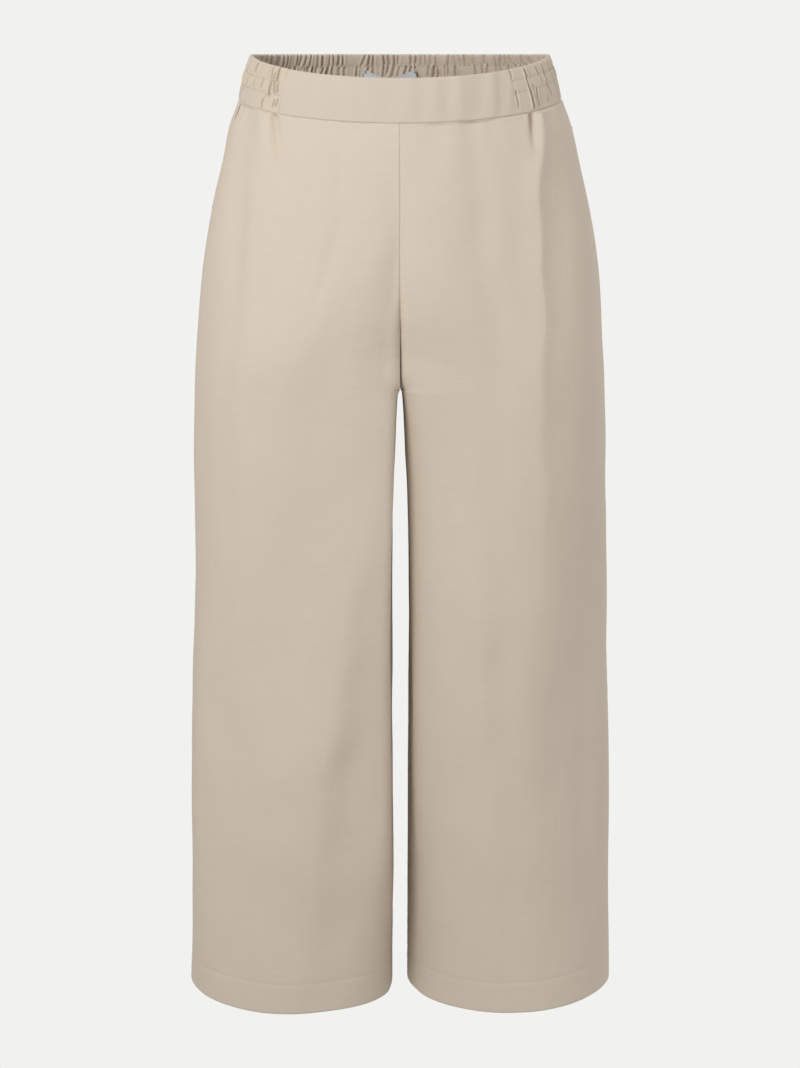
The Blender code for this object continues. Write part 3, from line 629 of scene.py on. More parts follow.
def panel_grids(side_name, first_turn, last_turn):
    """Outer and inner points of a panel and the place of each on the flat cloth."""
    side = SIDES[side_name]
    mouth = MOUTHS[side_name]
    is_front = first_turn == 0.0
    shares = SURVEY if is_front else 1.0 - SURVEY[::-1]
    height = np.repeat(PANEL_ROWS[:, None], len(shares), axis=1)
    turn = np.broadcast_to(mix(first_turn, last_turn, shares), height.shape)
    steps = np.linalg.norm(np.diff(body_surface(side_name, height, turn), axis=1), axis=2)
    reach = np.concatenate((np.zeros((len(PANEL_ROWS), 1)), np.cumsum(steps, axis=1)), axis=1)
    opened = mouth_open(mouth, PANEL_ROWS)
    first = np.full(len(PANEL_ROWS), CLOSED_SEAM / 2)
    last = reach[:, -1] - CLOSED_SEAM / 2 - (mouth.gape * opened if is_front else 0.0)
    angle = angle_of(height, turn)
    bend_angle = FLANK_ANGLE if is_front else 2 * math.pi - FLANK_ANGLE
    bend = np.array([np.interp(bend_angle, angle[i], reach[i]) for i in range(len(PANEL_ROWS))])
    bend = np.maximum(bend, first + LEAST_FLANK) if is_front else np.minimum(bend, last - LEAST_FLANK)
    before_bend, after_bend = (FLANK_COLUMNS, FRONT_COLUMNS) if is_front else (BACK_COLUMNS, FLANK_COLUMNS)
    before = mix(first[:, None], bend[:, None], before_bend[None, :])
    after = mix(bend[:, None], last[:, None], after_bend[None, 1:])
    distance = np.concatenate((before, after), axis=1)
    turn = np.array([np.interp(distance[i], reach[i], turn[i]) for i in range(len(PANEL_ROWS))])
    height = np.broadcast_to(PANEL_ROWS[:, None], turn.shape)

    points, normals, rise = cloth_at(side_name, height, turn)
    to_first = distance - first[:, None]
    to_last = last[:, None] - distance
    to_centre, to_side = (to_first, to_last) if is_front else (to_last, to_first)
    shut = 1.0 - (opened[:, None] if is_front and stands_open(mouth) else 0.0)
    centre_share = np.where(height < CROTCH, INSEAM_SHARE, 1.0)
    rise = rise + centre_share * seam_rise(to_centre, height, 3)
    rise += WAIST_SEAM_SHARE * seam_rise(PANEL_TOP - height, points[..., 0], 8)
    rise += SIDE_SEAM_SHARE * seam_rise(to_side, height, 5) * shut
    rise += MOUTH_LIFT * np.exp(-((to_side / MOUTH_LIFT_REACH) ** 2)) * (1.0 - shut)
    if not is_front and stands_open(mouth):
        rise -= MOUTH_SINK * np.exp(-((to_side / MOUTH_SINK_REACH) ** 2)) * opened[:, None]
    rise -= HEM_DIMPLE * np.exp(-(((height - HEM_STITCH) / HEM_DIMPLE_REACH) ** 2))

    wall = np.where(height < HEM_STITCH - FINEST_STEP / 2, HEM_CLOTH, CLOTH)
    to_edge = np.minimum(np.minimum(to_first, to_last), np.minimum(PANEL_TOP - height, height - HEM))
    half_wall = wall / 2 * edge_roundness(to_edge, wall)
    outer, inner = wall_faces(points, normals, rise - wall / 2, half_wall)
    apart = side * outer[:, 0 if is_front else -1, 0] - CLOSED_SEAM / 2
    drawn = apart[:, None] * np.exp(-((to_centre / CLOSING_REACH) ** 2)) * (height > CROTCH)
    for skin in (outer, inner):
        skin[..., 0] -= side * drawn
        kept_on_side(side, skin)
    grain = np.stack((side * (to_side if not is_front else -to_side), -height), axis=-1)
    return outer, inner, grain


def cloth_piece(name, outer, inner, grain, material):
    """One closed wall between two grids of points, with a UV map that holds each point's place on the flat
    cloth, in metres."""
    rows, columns = outer.shape[:2]
    mesh = bmesh.new()
    place = mesh.loops.layers.uv.new("grain")
    flat = {}
    skins = []
    for grid in (outer, inner):
        verts = [[mesh.verts.new(grid[i, j]) for j in range(columns)] for i in range(rows)]
        for i in range(rows):
            for j in range(columns):
                flat[verts[i][j]] = grain[i, j]
        skins.append(verts)
    face, lining = skins
    for i in range(rows - 1):
        for j in range(columns - 1):
            mesh.faces.new((face[i][j], face[i][j + 1], face[i + 1][j + 1], face[i + 1][j]))
            mesh.faces.new((lining[i][j], lining[i + 1][j], lining[i + 1][j + 1], lining[i][j + 1]))
    ends = set()
    for j in range(columns - 1):
        ends.add(mesh.faces.new((face[0][j], lining[0][j], lining[0][j + 1], face[0][j + 1])))
        ends.add(mesh.faces.new((face[-1][j], face[-1][j + 1], lining[-1][j + 1], lining[-1][j])))
    for i in range(rows - 1):
        ends.add(mesh.faces.new((face[i][0], face[i + 1][0], lining[i + 1][0], lining[i][0])))
        ends.add(mesh.faces.new((face[i][-1], lining[i][-1], lining[i + 1][-1], face[i + 1][-1])))
    for polygon in mesh.faces:
        polygon.smooth = True
        for loop in polygon.loops:
            loop[place].uv = flat[loop.vert]
    for skin in skins:
        rim = skin[0] + skin[-1] + [row[0] for row in skin] + [row[-1] for row in skin]
        for vert in rim:
            for edge in vert.link_edges:
                edge.smooth = len([face for face in edge.link_faces if face in ends]) != 1
    if mesh.calc_volume(signed=True) < 0:
        bmesh.ops.reverse_faces(mesh, faces=mesh.faces)
    data = bpy.data.meshes.new(name)
    mesh.to_mesh(data)
    mesh.free()
    data.materials.append(material)
    piece = bpy.data.objects.new(name, data)
    bpy.context.scene.collection.objects.link(piece)
    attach(piece, "root")
    return piece


# The weave: warp yarns run down the leg and weft yarns across it, each thicker and thinner along its length.
YARN_PITCH = 0.00072
SLUB_HEIGHT = 0.0019  # of a thick stretch of yarn, across the yarn
SLUB_LENGTH = 0.034


def linked_math(tree, operation, first, second=None):
    """A Math node with values or sockets on its inputs; returns its output."""
    node = tree.nodes.new("ShaderNodeMath")
    node.operation = operation
    for socket, value in zip(node.inputs, (first, second)):
        if isinstance(value, bpy.types.NodeSocket):
            tree.links.new(value, socket)
        elif value is not None:
            socket.default_value = value
    return node.outputs[0]


def noise_of(tree, x, y, seed, detail=2.0):
    """Noise between 0 and 1 at a place given by two sockets that are scaled already."""
    place = tree.nodes.new("ShaderNodeCombineXYZ")
    tree.links.new(x, place.inputs["X"])
    tree.links.new(y, place.inputs["Y"])
    place.inputs["Z"].default_value = seed
    noise = tree.nodes.new("ShaderNodeTexNoise")
    noise.inputs["Scale"].default_value = 1.0
    noise.inputs["Detail"].default_value = detail
    tree.links.new(place.outputs["Vector"], noise.inputs["Vector"])
    return noise.outputs["Fac"]


def build_weave():
    """A plain weave on cloth coordinates in metres: its height, and how light or dark its yarns are."""
    tree = bpy.data.node_groups.new("plain_weave", "ShaderNodeTree")
    tree.interface.new_socket("Cloth Place", in_out="INPUT", socket_type="NodeSocketVector")
    for name in ("Yarn Pitch", "Slub Height", "Slub Length"):
        tree.interface.new_socket(name, in_out="INPUT", socket_type="NodeSocketFloat")
    for name in ("Weave Height", "Tone"):
        tree.interface.new_socket(name, in_out="OUTPUT", socket_type="NodeSocketFloat")
    given = tree.nodes.new("NodeGroupInput")
    split = tree.nodes.new("ShaderNodeSeparateXYZ")
    tree.links.new(given.outputs["Cloth Place"], split.inputs[0])
    across, down = split.outputs["X"], split.outputs["Y"]
    pitch = given.outputs["Yarn Pitch"]
    thick = given.outputs["Slub Height"]
    length = given.outputs["Slub Length"]

    def over(place, size):
        return linked_math(tree, "DIVIDE", place, size)

    def yarns(place):
        """Half a wave for each yarn, side by side."""
        return linked_math(tree, "SINE", linked_math(tree, "MULTIPLY", over(place, pitch), math.pi))

    def blend(first, first_share, second, second_share):
        first = linked_math(tree, "MULTIPLY", first, first_share)
        second = linked_math(tree, "MULTIPLY", second, second_share)
        return linked_math(tree, "ADD", first, second)

    warp = yarns(across)
    weft = yarns(down)
    crossing = linked_math(tree, "MULTIPLY", warp, weft)
    on_top = linked_math(tree, "MULTIPLY_ADD", crossing, 1.0)
    on_top.node.inputs[2].default_value = 0.5
    on_top.node.use_clamp = True
    warp_round = linked_math(tree, "ABSOLUTE", warp)
    weft_round = linked_math(tree, "ABSOLUTE", weft)
    under = linked_math(tree, "MULTIPLY", weft_round, linked_math(tree, "SUBTRACT", 1.0, on_top))
    weave = linked_math(tree, "ADD", linked_math(tree, "MULTIPLY", warp_round, on_top), under)

    weft_slub = noise_of(tree, over(across, length), over(down, thick), 3.0)
    warp_slub = noise_of(tree, over(across, thick), over(down, length), 7.0)
    yarn = noise_of(tree, over(across, length), over(down, pitch), 11.0, 1.0)
    slub = blend(weft_slub, 0.62, warp_slub, 0.38)
    tone = blend(slub, 0.70, yarn, 0.30)
    height = blend(weave, 0.55, slub, 0.90)
    made = tree.nodes.new("NodeGroupOutput")
    tree.links.new(height, made.inputs["Weave Height"])
    tree.links.new(tone, made.inputs["Tone"])
    return tree


WEAVE = build_weave()


def new_finish(name, values):
    """A new material, with values on its shader's own sockets."""
    material = bpy.data.materials.new(name)
    material.use_nodes = True
    shader = material.node_tree.nodes["Principled BSDF"]
    for socket, value in values.items():
        shader.inputs[socket].default_value = value
    return material, material.node_tree, shader


def lay_weave(tree, pitch, slub_height, slub_length):
    """The weave, laid on a piece's own flat cloth."""
    place = tree.nodes.new("ShaderNodeUVMap")
    place.uv_map = "grain"
    weave = tree.nodes.new("ShaderNodeGroup")
    weave.node_tree = WEAVE
    weave.inputs["Yarn Pitch"].default_value = pitch
    weave.inputs["Slub Height"].default_value = slub_height
    weave.inputs["Slub Length"].default_value = slub_length
    tree.links.new(place.outputs["UV"], weave.inputs["Cloth Place"])
    return weave


def colour_between(tree, shader, share, dark, light):
    """Colours the surface between two tones."""
    colour = tree.nodes.new("ShaderNodeMix")
    colour.data_type = "RGBA"
    colour.inputs["A"].default_value = (*dark, 1.0)
    colour.inputs["B"].default_value = (*light, 1.0)
    tree.links.new(share, colour.inputs["Factor"])
    tree.links.new(colour.outputs["Result"], shader.inputs["Base Color"])


def raise_surface(tree, shader, height, strength, distance):
    """Finest form of the surface, from a height."""
    relief = tree.nodes.new("ShaderNodeBump")
    relief.inputs["Strength"].default_value = strength
    relief.inputs["Distance"].default_value = distance
    tree.links.new(height, relief.inputs["Height"])
    tree.links.new(relief.outputs["Normal"], shader.inputs["Normal"])


def linen(name, dark, light):
    """A woven cloth between two tones of its colour, a little paler and darker in soft clouds."""
    values = {"Roughness": 0.86, "Specular IOR Level": 0.25, "Sheen Weight": 0.22, "Sheen Roughness": 0.5}
    material, tree, shader = new_finish(name, {**values, "Sheen Tint": (*light, 1.0)})
    weave = lay_weave(tree, YARN_PITCH, SLUB_HEIGHT, SLUB_LENGTH)
    where = tree.nodes.new("ShaderNodeTexCoord")
    cloud = tree.nodes.new("ShaderNodeTexNoise")
    cloud.inputs["Scale"].default_value = 5.0
    cloud.inputs["Detail"].default_value = 3.0
    tree.links.new(where.outputs["Object"], cloud.inputs["Vector"])
    blend = linked_math(tree, "MULTIPLY_ADD", cloud.outputs["Fac"], 0.22)
    tree.links.new(linked_math(tree, "MULTIPLY", weave.outputs["Tone"], 0.50), blend.node.inputs[2])
    tones = tree.nodes.new("ShaderNodeMapRange")
    tones.inputs["From Min"].default_value = 0.14
    tones.inputs["From Max"].default_value = 0.58
    tree.links.new(blend, tones.inputs["Value"])
    colour_between(tree, shader, tones.outputs["Result"], dark, light)
    raise_surface(tree, shader, weave.outputs["Weave Height"], 0.45, 0.00022)
    return material


LEG_LINEN = linen("leg_linen", (0.600, 0.513, 0.415), (0.690, 0.597, 0.497))

panels = {}
for side_name in SIDES:
    for face_name, turns in (("front", (0.0, 0.5)), ("back", (0.5, 1.0))):
        outer, inner, grain = panel_grids(side_name, *turns)
        panels[side_name, face_name] = outer
        panel = cloth_piece(f"{side_name}_{face_name}_leg", outer, inner, grain, LEG_LINEN)
        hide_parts(f"{face_name}_panel_{side_name}")

# ================================================================ pocket bags
# A flat bag of the same linen hangs inside each side seam, sewn to the waistband above and to the two edges
# of the mouth. It is coloured darker and browner than the legs as painted shade: its outer layer is what
# shows as a shaded strip where the right pocket stands open.

BAG_CLOTH = 0.0018
BAG_CLEARANCE = 0.0004
BAG_TOP = WAIST_SEAM - 0.0006
BAG_BOTTOM = -0.2600
BAG_TURNS = (0.25, 0.548)
BAG_CORNER_RISE = 0.0145
BAG_GRID = (64, 60)
BAG_DEPTH = 0.24
FACING_DEPTH = 0.0110  # the bag falls away behind an open mouth by this
FACING_TURN = 0.475  # middle and reach of that hollow, round the side
FACING_REACH = 0.045

# The bag's tones are darker and browner than the legs': painted shade for the hollow behind the open mouth.
BAG_LINEN_PAINTED_SHADE = linen("bag_linen_painted_shade", (0.505, 0.420, 0.325), (0.590, 0.500, 0.400))


def bag_grids(side_name):
    side = SIDES[side_name]
    mouth = MOUTHS[side_name]
    down = np.linspace(0.0, 1.0, BAG_GRID[0])[:, None]
    across = np.linspace(0.0, 1.0, BAG_GRID[1])[None, :]
    bottom = BAG_BOTTOM + BAG_CORNER_RISE * (2 * across - 1) ** 4
    height = mix(BAG_TOP, bottom, down)
    turn = np.broadcast_to(mix(BAG_TURNS[0], BAG_TURNS[1], across), height.shape)
    points, normals, rise = cloth_at(side_name, height, turn)
    behind_mouth = mouth_open(mouth, height) * np.exp(-(((turn - FACING_TURN) / FACING_REACH) ** 2))
    depth = CLOTH + BAG_CLEARANCE - rise + (FACING_DEPTH * behind_mouth if stands_open(mouth) else 0.0)
    step = np.linalg.norm(points[:, 1:] - points[:, :-1], axis=2).mean()
    to_side = np.minimum(across, 1 - across) * step * BAG_GRID[1]
    to_edge = np.minimum(to_side, np.minimum(down, 1 - down) * BAG_DEPTH)
    half_wall = BAG_CLOTH / 2 * edge_roundness(to_edge, BAG_CLOTH)
    outer, inner = wall_faces(points, normals, -depth - BAG_CLOTH / 2, half_wall)
    grain = np.stack((points[..., 1], -height), axis=-1)
    return kept_on_side(side, outer), kept_on_side(side, inner), grain


for side_name in SIDES:
    bag = cloth_piece(f"{side_name}_pocket", *bag_grids(side_name), BAG_LINEN_PAINTED_SHADE)
    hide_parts(f"pocket_bag_{side_name}")

# ================================================================ flat waistband
# The front of the waistband is a straight strip of the linen, folded double over interfacing. It is smooth
# but for faint upright waves, and its lower edge is sewn to the front panels.

BAND_PROUD = 0.0004
FLAT_CLOTH = 0.0022
FLAT_SWELL = 0.0004
END_ROLL = 0.00022  # the seams to the elastic part are pressed flat and hardly show
FLAT_ENDS = (-0.1075, 0.1035)  # x of the seams to the elastic part
FLAT_LENGTH = 0.22  # about the length between those seams
FLAT_GRID_STEP = 0.0016
BAND_BOTTOM = WAIST_SEAM + CLOSED_SEAM / 2
BAND_HEIGHT = BAND_TOP - BAND_BOTTOM
BAND_RUMPLE = 0.4  # the bands are stiffer than the legs and rumple less
WAVE_LEAN = 0.0035  # how far a wave strays from upright
WAVE_HELD = 0.9  # share of the waves that the waist seam takes out beside it
WAVE_HELD_REACH = 0.0050

Wave = namedtuple("Wave", "place half_width rise")
FLAT_WAVES = (
    Wave(-0.0960, 0.0040, -0.0003),
    Wave(-0.0896, 0.0055, 0.0003),
    Wave(-0.0842, 0.0050, -0.0005),
    Wave(-0.0679, 0.0080, 0.0005),
    Wave(-0.0597, 0.0060, -0.0003),
    Wave(-0.0434, 0.0070, 0.0003),
    Wave(-0.0380, 0.0040, -0.0003),
    Wave(-0.0217, 0.0065, 0.0007),
    Wave(-0.0090, 0.0070, -0.0004),
    Wave(0.0072, 0.0080, 0.0007),
    Wave(0.0217, 0.0060, -0.0005),
    Wave(0.0299, 0.0050, 0.0005),
    Wave(0.0425, 0.0060, -0.0007),
    Wave(0.0561, 0.0065, 0.0012),
    Wave(0.0697, 0.0070, -0.0009),
    Wave(0.0851, 0.0055, 0.0009),
    Wave(0.0923, 0.0035, -0.0005),
    Wave(0.0977, 0.0030, 0.0006),
)


def band_surface(height, bearing):
    """Points of the waist surface and their outward directions."""
    half_width = read(SECTIONS, "half_width", height)
    frontness = np.cos(bearing)
    depth = np.where(
        frontness > 0, read(SECTIONS, "front_depth", height), read(SECTIONS, "back_depth", height)
    )
    dip = front_dip(height, frontness)
    points = np.stack((half_width * np.sin(bearing), -depth * frontness, height - dip), axis=-1)
    normals = np.stack((depth * np.sin(bearing), -half_width * frontness, np.zeros(height.shape)), axis=-1)
    return points, normals / np.linalg.norm(normals, axis=-1, keepdims=True)


def end_bearings():
    half_width = float(read(SECTIONS, "half_width", 0.0))
    half_gap = CLOSED_SEAM / 2 / SECTIONS[0].front_depth
    return math.asin(FLAT_ENDS[0] / half_width) + half_gap, math.asin(FLAT_ENDS[1] / half_width) - half_gap


def run_along(points):
    """Distance along the middle row of a grid."""
    middle = points[len(points) // 2]
    steps = np.linalg.norm(np.diff(middle, axis=0), axis=1)
    return np.concatenate(([0.0], np.cumsum(steps)))


FLAT_LINEN = linen("band_linen", (0.575, 0.492, 0.400), (0.660, 0.573, 0.478))
flat_levels = BAND_BOTTOM + graded(BAND_HEIGHT, 0.0004, FLAT_GRID_STEP)
flat_first, flat_last = end_bearings()
flat_shares = graded(FLAT_LENGTH, FINEST_STEP, FLAT_GRID_STEP) / FLAT_LENGTH
height, bearing = np.meshgrid(flat_levels, mix(flat_first, flat_last, flat_shares), indexing="ij")
points, normals = band_surface(height, bearing)
above_seam = height - BAND_BOTTOM
along = run_along(points)
to_end = np.broadcast_to(np.minimum(along, along[-1] - along), height.shape)
to_edge = np.minimum(above_seam, BAND_TOP - height)
wave = np.zeros(height.shape)
for seed, one in enumerate(FLAT_WAVES):
    lean = WAVE_LEAN * stray(0.3 * height, seed)
    wave += one.rise * np.exp(-(((points[..., 0] - one.place - lean) / one.half_width) ** 2))
wave *= 1.0 - WAVE_HELD * np.exp(-above_seam / WAVE_HELD_REACH)
swell = FLAT_SWELL * np.sin(math.pi * np.clip(above_seam / BAND_HEIGHT, 0, 1)) ** 0.6
seams = WAIST_SEAM_SHARE * seam_rise(above_seam, points[..., 0], 2)
seams -= END_ROLL * np.exp(-to_end / SEAM_ROLL_REACH)
half_wall = (FLAT_CLOTH / 2 + swell) * edge_roundness(to_edge, FLAT_CLOTH)
middle = BAND_PROUD - FLAT_CLOTH / 2 + wave + seams + BAND_RUMPLE * rumple_rise(points)
outer, inner = wall_faces(points, normals, middle, half_wall)
grain = np.stack((np.broadcast_to(along, height.shape), height), axis=-1)
flat_band = cloth_piece("flat_waistband", outer, inner, grain, FLAT_LINEN)
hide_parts("waistband_front")

# ================================================================ elastic waistband
# Round the sides and the back the waistband is a casing over wide elastic, held by two rows of stitches. The
# linen is much longer than the elastic, so it stands in close, uneven gathers in three tunnels.

ELASTIC_CUT = (0.800, 0.0405)
STITCH_ROWS = (0.44, 0.72)  # shares of the band's height
ROW_TILT = 0.055  # the rows lie this much higher on the wearer's left and lower on the right
TUNNEL_SWELL = 0.0005  # how far the cloth stands out between two rows
ROW_HALF_WALL = 0.0010
RIM_SCALLOP = 0.55  # how far a gather draws the upper edge down, as a share of its depth
CASING_LEAST = 0.0006  # thinnest wall, at the bottom of a gather

# Gathers at the front of the elastic, on the wearer's right and left. run is the distance from the seam to
# the flat waistband, and up the share of the band's height, each for the gather's two ends.
Pleat = namedtuple("Pleat", "side run_top up_top run_bottom up_bottom depth half_width")
FRONT_PLEATS = (
    Pleat("right", 0.0560, 0.99, 0.0600, 0.68, 0.0030, 0.0012),
    Pleat("right", 0.0410, 0.99, 0.0418, 0.75, 0.0034, 0.0013),
    Pleat("right", 0.0340, 0.95, 0.0324, 0.74, 0.0009, 0.0009),
    Pleat("right", 0.0295, 0.95, 0.0255, 0.70, 0.0008, 0.0009),
    Pleat("right", 0.0222, 0.97, 0.0208, 0.70, 0.0008, 0.0010),
    Pleat("right", 0.0178, 0.97, 0.0146, 0.66, 0.0017, 0.0010),
    Pleat("right", 0.0092, 0.99, 0.0076, 0.69, 0.0027, 0.0010),
    Pleat("right", 0.0134, 0.86, 0.0106, 0.66, 0.0015, 0.0009),
    Pleat("right", 0.0690, 0.98, 0.0700, 0.70, 0.0018, 0.0011),
    Pleat("right", 0.0508, 0.63, 0.0519, 0.39, 0.0027, 0.0012),
    Pleat("right", 0.0463, 0.60, 0.0453, 0.48, 0.0008, 0.0009),
    Pleat("right", 0.0386, 0.63, 0.0385, 0.41, 0.0015, 0.0011),
    Pleat("right", 0.0330, 0.63, 0.0322, 0.50, 0.0008, 0.0009),
    Pleat("right", 0.0263, 0.66, 0.0268, 0.44, 0.0013, 0.0010),
    Pleat("right", 0.0144, 0.65, 0.0146, 0.33, 0.0021, 0.0011),
    Pleat("right", 0.0104, 0.66, 0.0078, 0.43, 0.0020, 0.0010),
    Pleat("right", 0.0064, 0.68, 0.0044, 0.46, 0.0016, 0.0009),
    Pleat("right", 0.0600, 0.62, 0.0610, 0.40, 0.0016, 0.0011),
    Pleat("right", 0.0680, 0.64, 0.0675, 0.38, 0.0014, 0.0010),
    Pleat("right", 0.0192, 0.35, 0.0213, 0.18, 0.0007, 0.0012),
    Pleat("right", 0.0213, 0.22, 0.0204, 0.03, 0.0018, 0.0008),
    Pleat("right", 0.0065, 0.29, 0.0077, 0.12, 0.0011, 0.0009),
    Pleat("right", 0.0026, 0.33, 0.0040, 0.15, 0.0010, 0.0009),
    Pleat("right", 0.0560, 0.30, 0.0570, 0.04, 0.0009, 0.0013),
    Pleat("left", 0.0182, 1.00, 0.0196, 0.77, 0.0030, 0.0012),
    Pleat("left", 0.0184, 0.78, 0.0192, 0.47, 0.0014, 0.0010),
    Pleat("left", 0.0194, 0.52, 0.0210, 0.08, 0.0032, 0.0012),
    Pleat("left", 0.0335, 1.00, 0.0364, 0.79, 0.0019, 0.0011),
    Pleat("left", 0.0369, 0.78, 0.0397, 0.56, 0.0009, 0.0010),
    Pleat("left", 0.0450, 1.00, 0.0452, 0.60, 0.0020, 0.0011),
    Pleat("left", 0.0452, 0.66, 0.0450, 0.47, 0.0015, 0.0010),
    Pleat("left", 0.0459, 0.45, 0.0504, 0.22, 0.0014, 0.0011),
    Pleat("left", 0.0285, 0.50, 0.0267, 0.24, 0.0017, 0.0010),
    Pleat("left", 0.0281, 0.22, 0.0279, 0.10, 0.0015, 0.0009),
    Pleat("left", 0.0437, 0.28, 0.0420, 0.10, 0.0009, 0.0010),
    Pleat("left", 0.0249, 0.60, 0.0245, 0.49, 0.0012, 0.0009),
    Pleat("left", 0.0570, 0.99, 0.0590, 0.76, 0.0018, 0.0011),
    Pleat("left", 0.0590, 0.70, 0.0600, 0.50, 0.0013, 0.0010),
    Pleat("left", 0.0680, 0.98, 0.0690, 0.50, 0.0019, 0.0011),
    Pleat("left", 0.0640, 0.44, 0.0660, 0.05, 0.0014, 0.0011),
    Pleat("left", 0.0020, 1.00, 0.0018, 0.78, 0.0009, 0.0012),
    Pleat("left", 0.0030, 0.53, 0.0035, 0.14, 0.0009, 0.0013),
)
FRONT_DEEPER = 2.0  # a front gather's groove is deeper than its depth above, and narrower, by these
FRONT_NARROWER = 0.72
HIDDEN_FROM = 0.0740  # run past which the gathers are spread at random
PLEAT_SEED = 33
PLEAT_SPACINGS = (0.0034, 0.0072)
PLEATS_SKIPPED = 0.20  # share of the places in each tunnel that have no gather
PLEAT_SHIFT = 0.0012
PLEAT_TILT = 0.0009
PLEAT_DEPTHS = (0.0010, 0.0026)
PLEAT_HALF_WIDTHS = (0.0008, 0.0013)
PLEAT_STOP = 0.14  # share of a tunnel's height by which a gather may stop short of the row below
LOWEST_TUNNEL_SHARE = 0.75  # of the depth, for the gathers of the lowest tunnel
PLEAT_POWER = 1.35  # less than 2, so that a gather's bottom is creased
PLEAT_SWELL = 0.26  # the cloth beside a gather stands out by this share of its depth
SEAM_HELD = 0.07  # share of the band's height over which the waist seam holds the gathers flat
INSIDE_SHIFT = 0.6 * HIDDEN_FROM  # the inside's gathers start nearer to the flat waistband
INSIDE_DEEPER = 1.5
ELASTIC_BEHIND = 0.0007  # the casing is thicker behind by this, for the elastic in it
RIM_REACH = 0.20  # share of the band's height over which the gathers draw the upper edge down
RIM_DRAWN = (-0.0006, 0.0030)  # least and most that they draw it, before RIM_SCALLOP
PLEAT_STEP = 0.00034  # between two columns of the mesh where the front's gathers lie, and elsewhere
CASING_STEP = 0.00052
SURVEY_COLUMNS = 4000


def random_pleats(length, chance):
    """Uneven gathers in each of the three tunnels; many run on from one tunnel to the next."""
    tunnels = ((0.0, STITCH_ROWS[0]), STITCH_ROWS, (STITCH_ROWS[1], 1.0))
    found = []
    run = HIDDEN_FROM
    while run < length - HIDDEN_FROM:
        for low, high in tunnels:
            if chance.random() < PLEATS_SKIPPED:
                continue
            start = run + chance.uniform(-PLEAT_SHIFT, PLEAT_SHIFT)
            tilt = chance.normal() * PLEAT_TILT
            depth = chance.uniform(*PLEAT_DEPTHS) * (LOWEST_TUNNEL_SHARE if low == 0.0 else 1.0)
            stop = low + (high - low) * chance.uniform(0.0, PLEAT_STOP)
            half_width = chance.uniform(*PLEAT_HALF_WIDTHS)
            found.append((start + tilt, high, start - tilt, stop, depth, half_width))
        run += chance.uniform(*PLEAT_SPACINGS)
    return found


def pleat_depth(pleats, run, up):
    """Depth of the gathers at each point of the casing, with the small swells beside them."""
    depth = np.zeros(run.shape)
    runs = run[0]
    for run_top, up_top, run_bottom, up_bottom, deep, half_width in pleats:
        middle = (run_top + run_bottom) / 2
        reach = abs(run_top - run_bottom) + 9 * half_width
        near = slice(np.searchsorted(runs, middle - reach), np.searchsorted(runs, middle + reach))
        share = (up_top - up[:, near]) / (up_top - up_bottom)
        inside = np.clip(np.minimum(share, 1.0 - share) / 0.16 + 0.45, 0.0, 1.0)
        offset = np.abs(run[:, near] - mix(run_top, run_bottom, np.clip(share, 0, 1))) / half_width
        groove = np.exp(-(offset**PLEAT_POWER)) - PLEAT_SWELL * np.exp(-(((offset - 2.3) / 1.1) ** 2))
        depth[:, near] += deep * groove * ease(inside)
    return depth


chance = np.random.default_rng(PLEAT_SEED)
casing_up = graded(1.0, 0.012, 0.034)
casing_first = flat_last + CLOSED_SEAM / SECTIONS[0].front_depth
casing_last = flat_first - CLOSED_SEAM / SECTIONS[0].front_depth + 2 * math.pi
survey = np.linspace(casing_first, casing_last, SURVEY_COLUMNS)
survey_run = run_along(band_surface(np.zeros((1, SURVEY_COLUMNS)), survey[None, :])[0])
near_end = np.arange(0.0, HIDDEN_FROM, PLEAT_STEP)
hidden_columns = int((survey_run[-1] - 2 * HIDDEN_FROM) / CASING_STEP)
hidden_run = np.linspace(HIDDEN_FROM, survey_run[-1] - HIDDEN_FROM, hidden_columns)
casing_run = np.concatenate((near_end, hidden_run, survey_run[-1] - near_end[::-1]))
casing_bearings = np.interp(casing_run, survey_run, survey)
up, bearing = np.meshgrid(casing_up, casing_bearings, indexing="ij")
height = mix(BAND_BOTTOM, BAND_TOP, up)
points, normals = band_surface(height, bearing)
along = run_along(points)
run = np.broadcast_to(along, up.shape)
casing_length = along[-1]
warped_up = up - ROW_TILT * np.sin(bearing) * np.sin(math.pi * up)

front_pleats = []
for pleat in FRONT_PLEATS:
    top, bottom = pleat.run_top, pleat.run_bottom
    if pleat.side == "right":
        top, bottom = casing_length - top, casing_length - bottom
    depth = FRONT_DEEPER * pleat.depth
    half_width = FRONT_NARROWER * pleat.half_width
    front_pleats.append((top, pleat.up_top, bottom, pleat.up_bottom, depth, half_width))
outside = pleat_depth(front_pleats, run, up)
outside += pleat_depth(random_pleats(casing_length, chance), run, warped_up)
inside_pleats = []
for top, up_top, bottom, *rest in random_pleats(casing_length + 2 * INSIDE_SHIFT, chance):
    inside_pleats.append((top - INSIDE_SHIFT, up_top, bottom - INSIDE_SHIFT, *rest))
inside = pleat_depth(inside_pleats, run, warped_up)
outside *= ease(up / SEAM_HELD)
inside *= ease(up / SEAM_HELD)

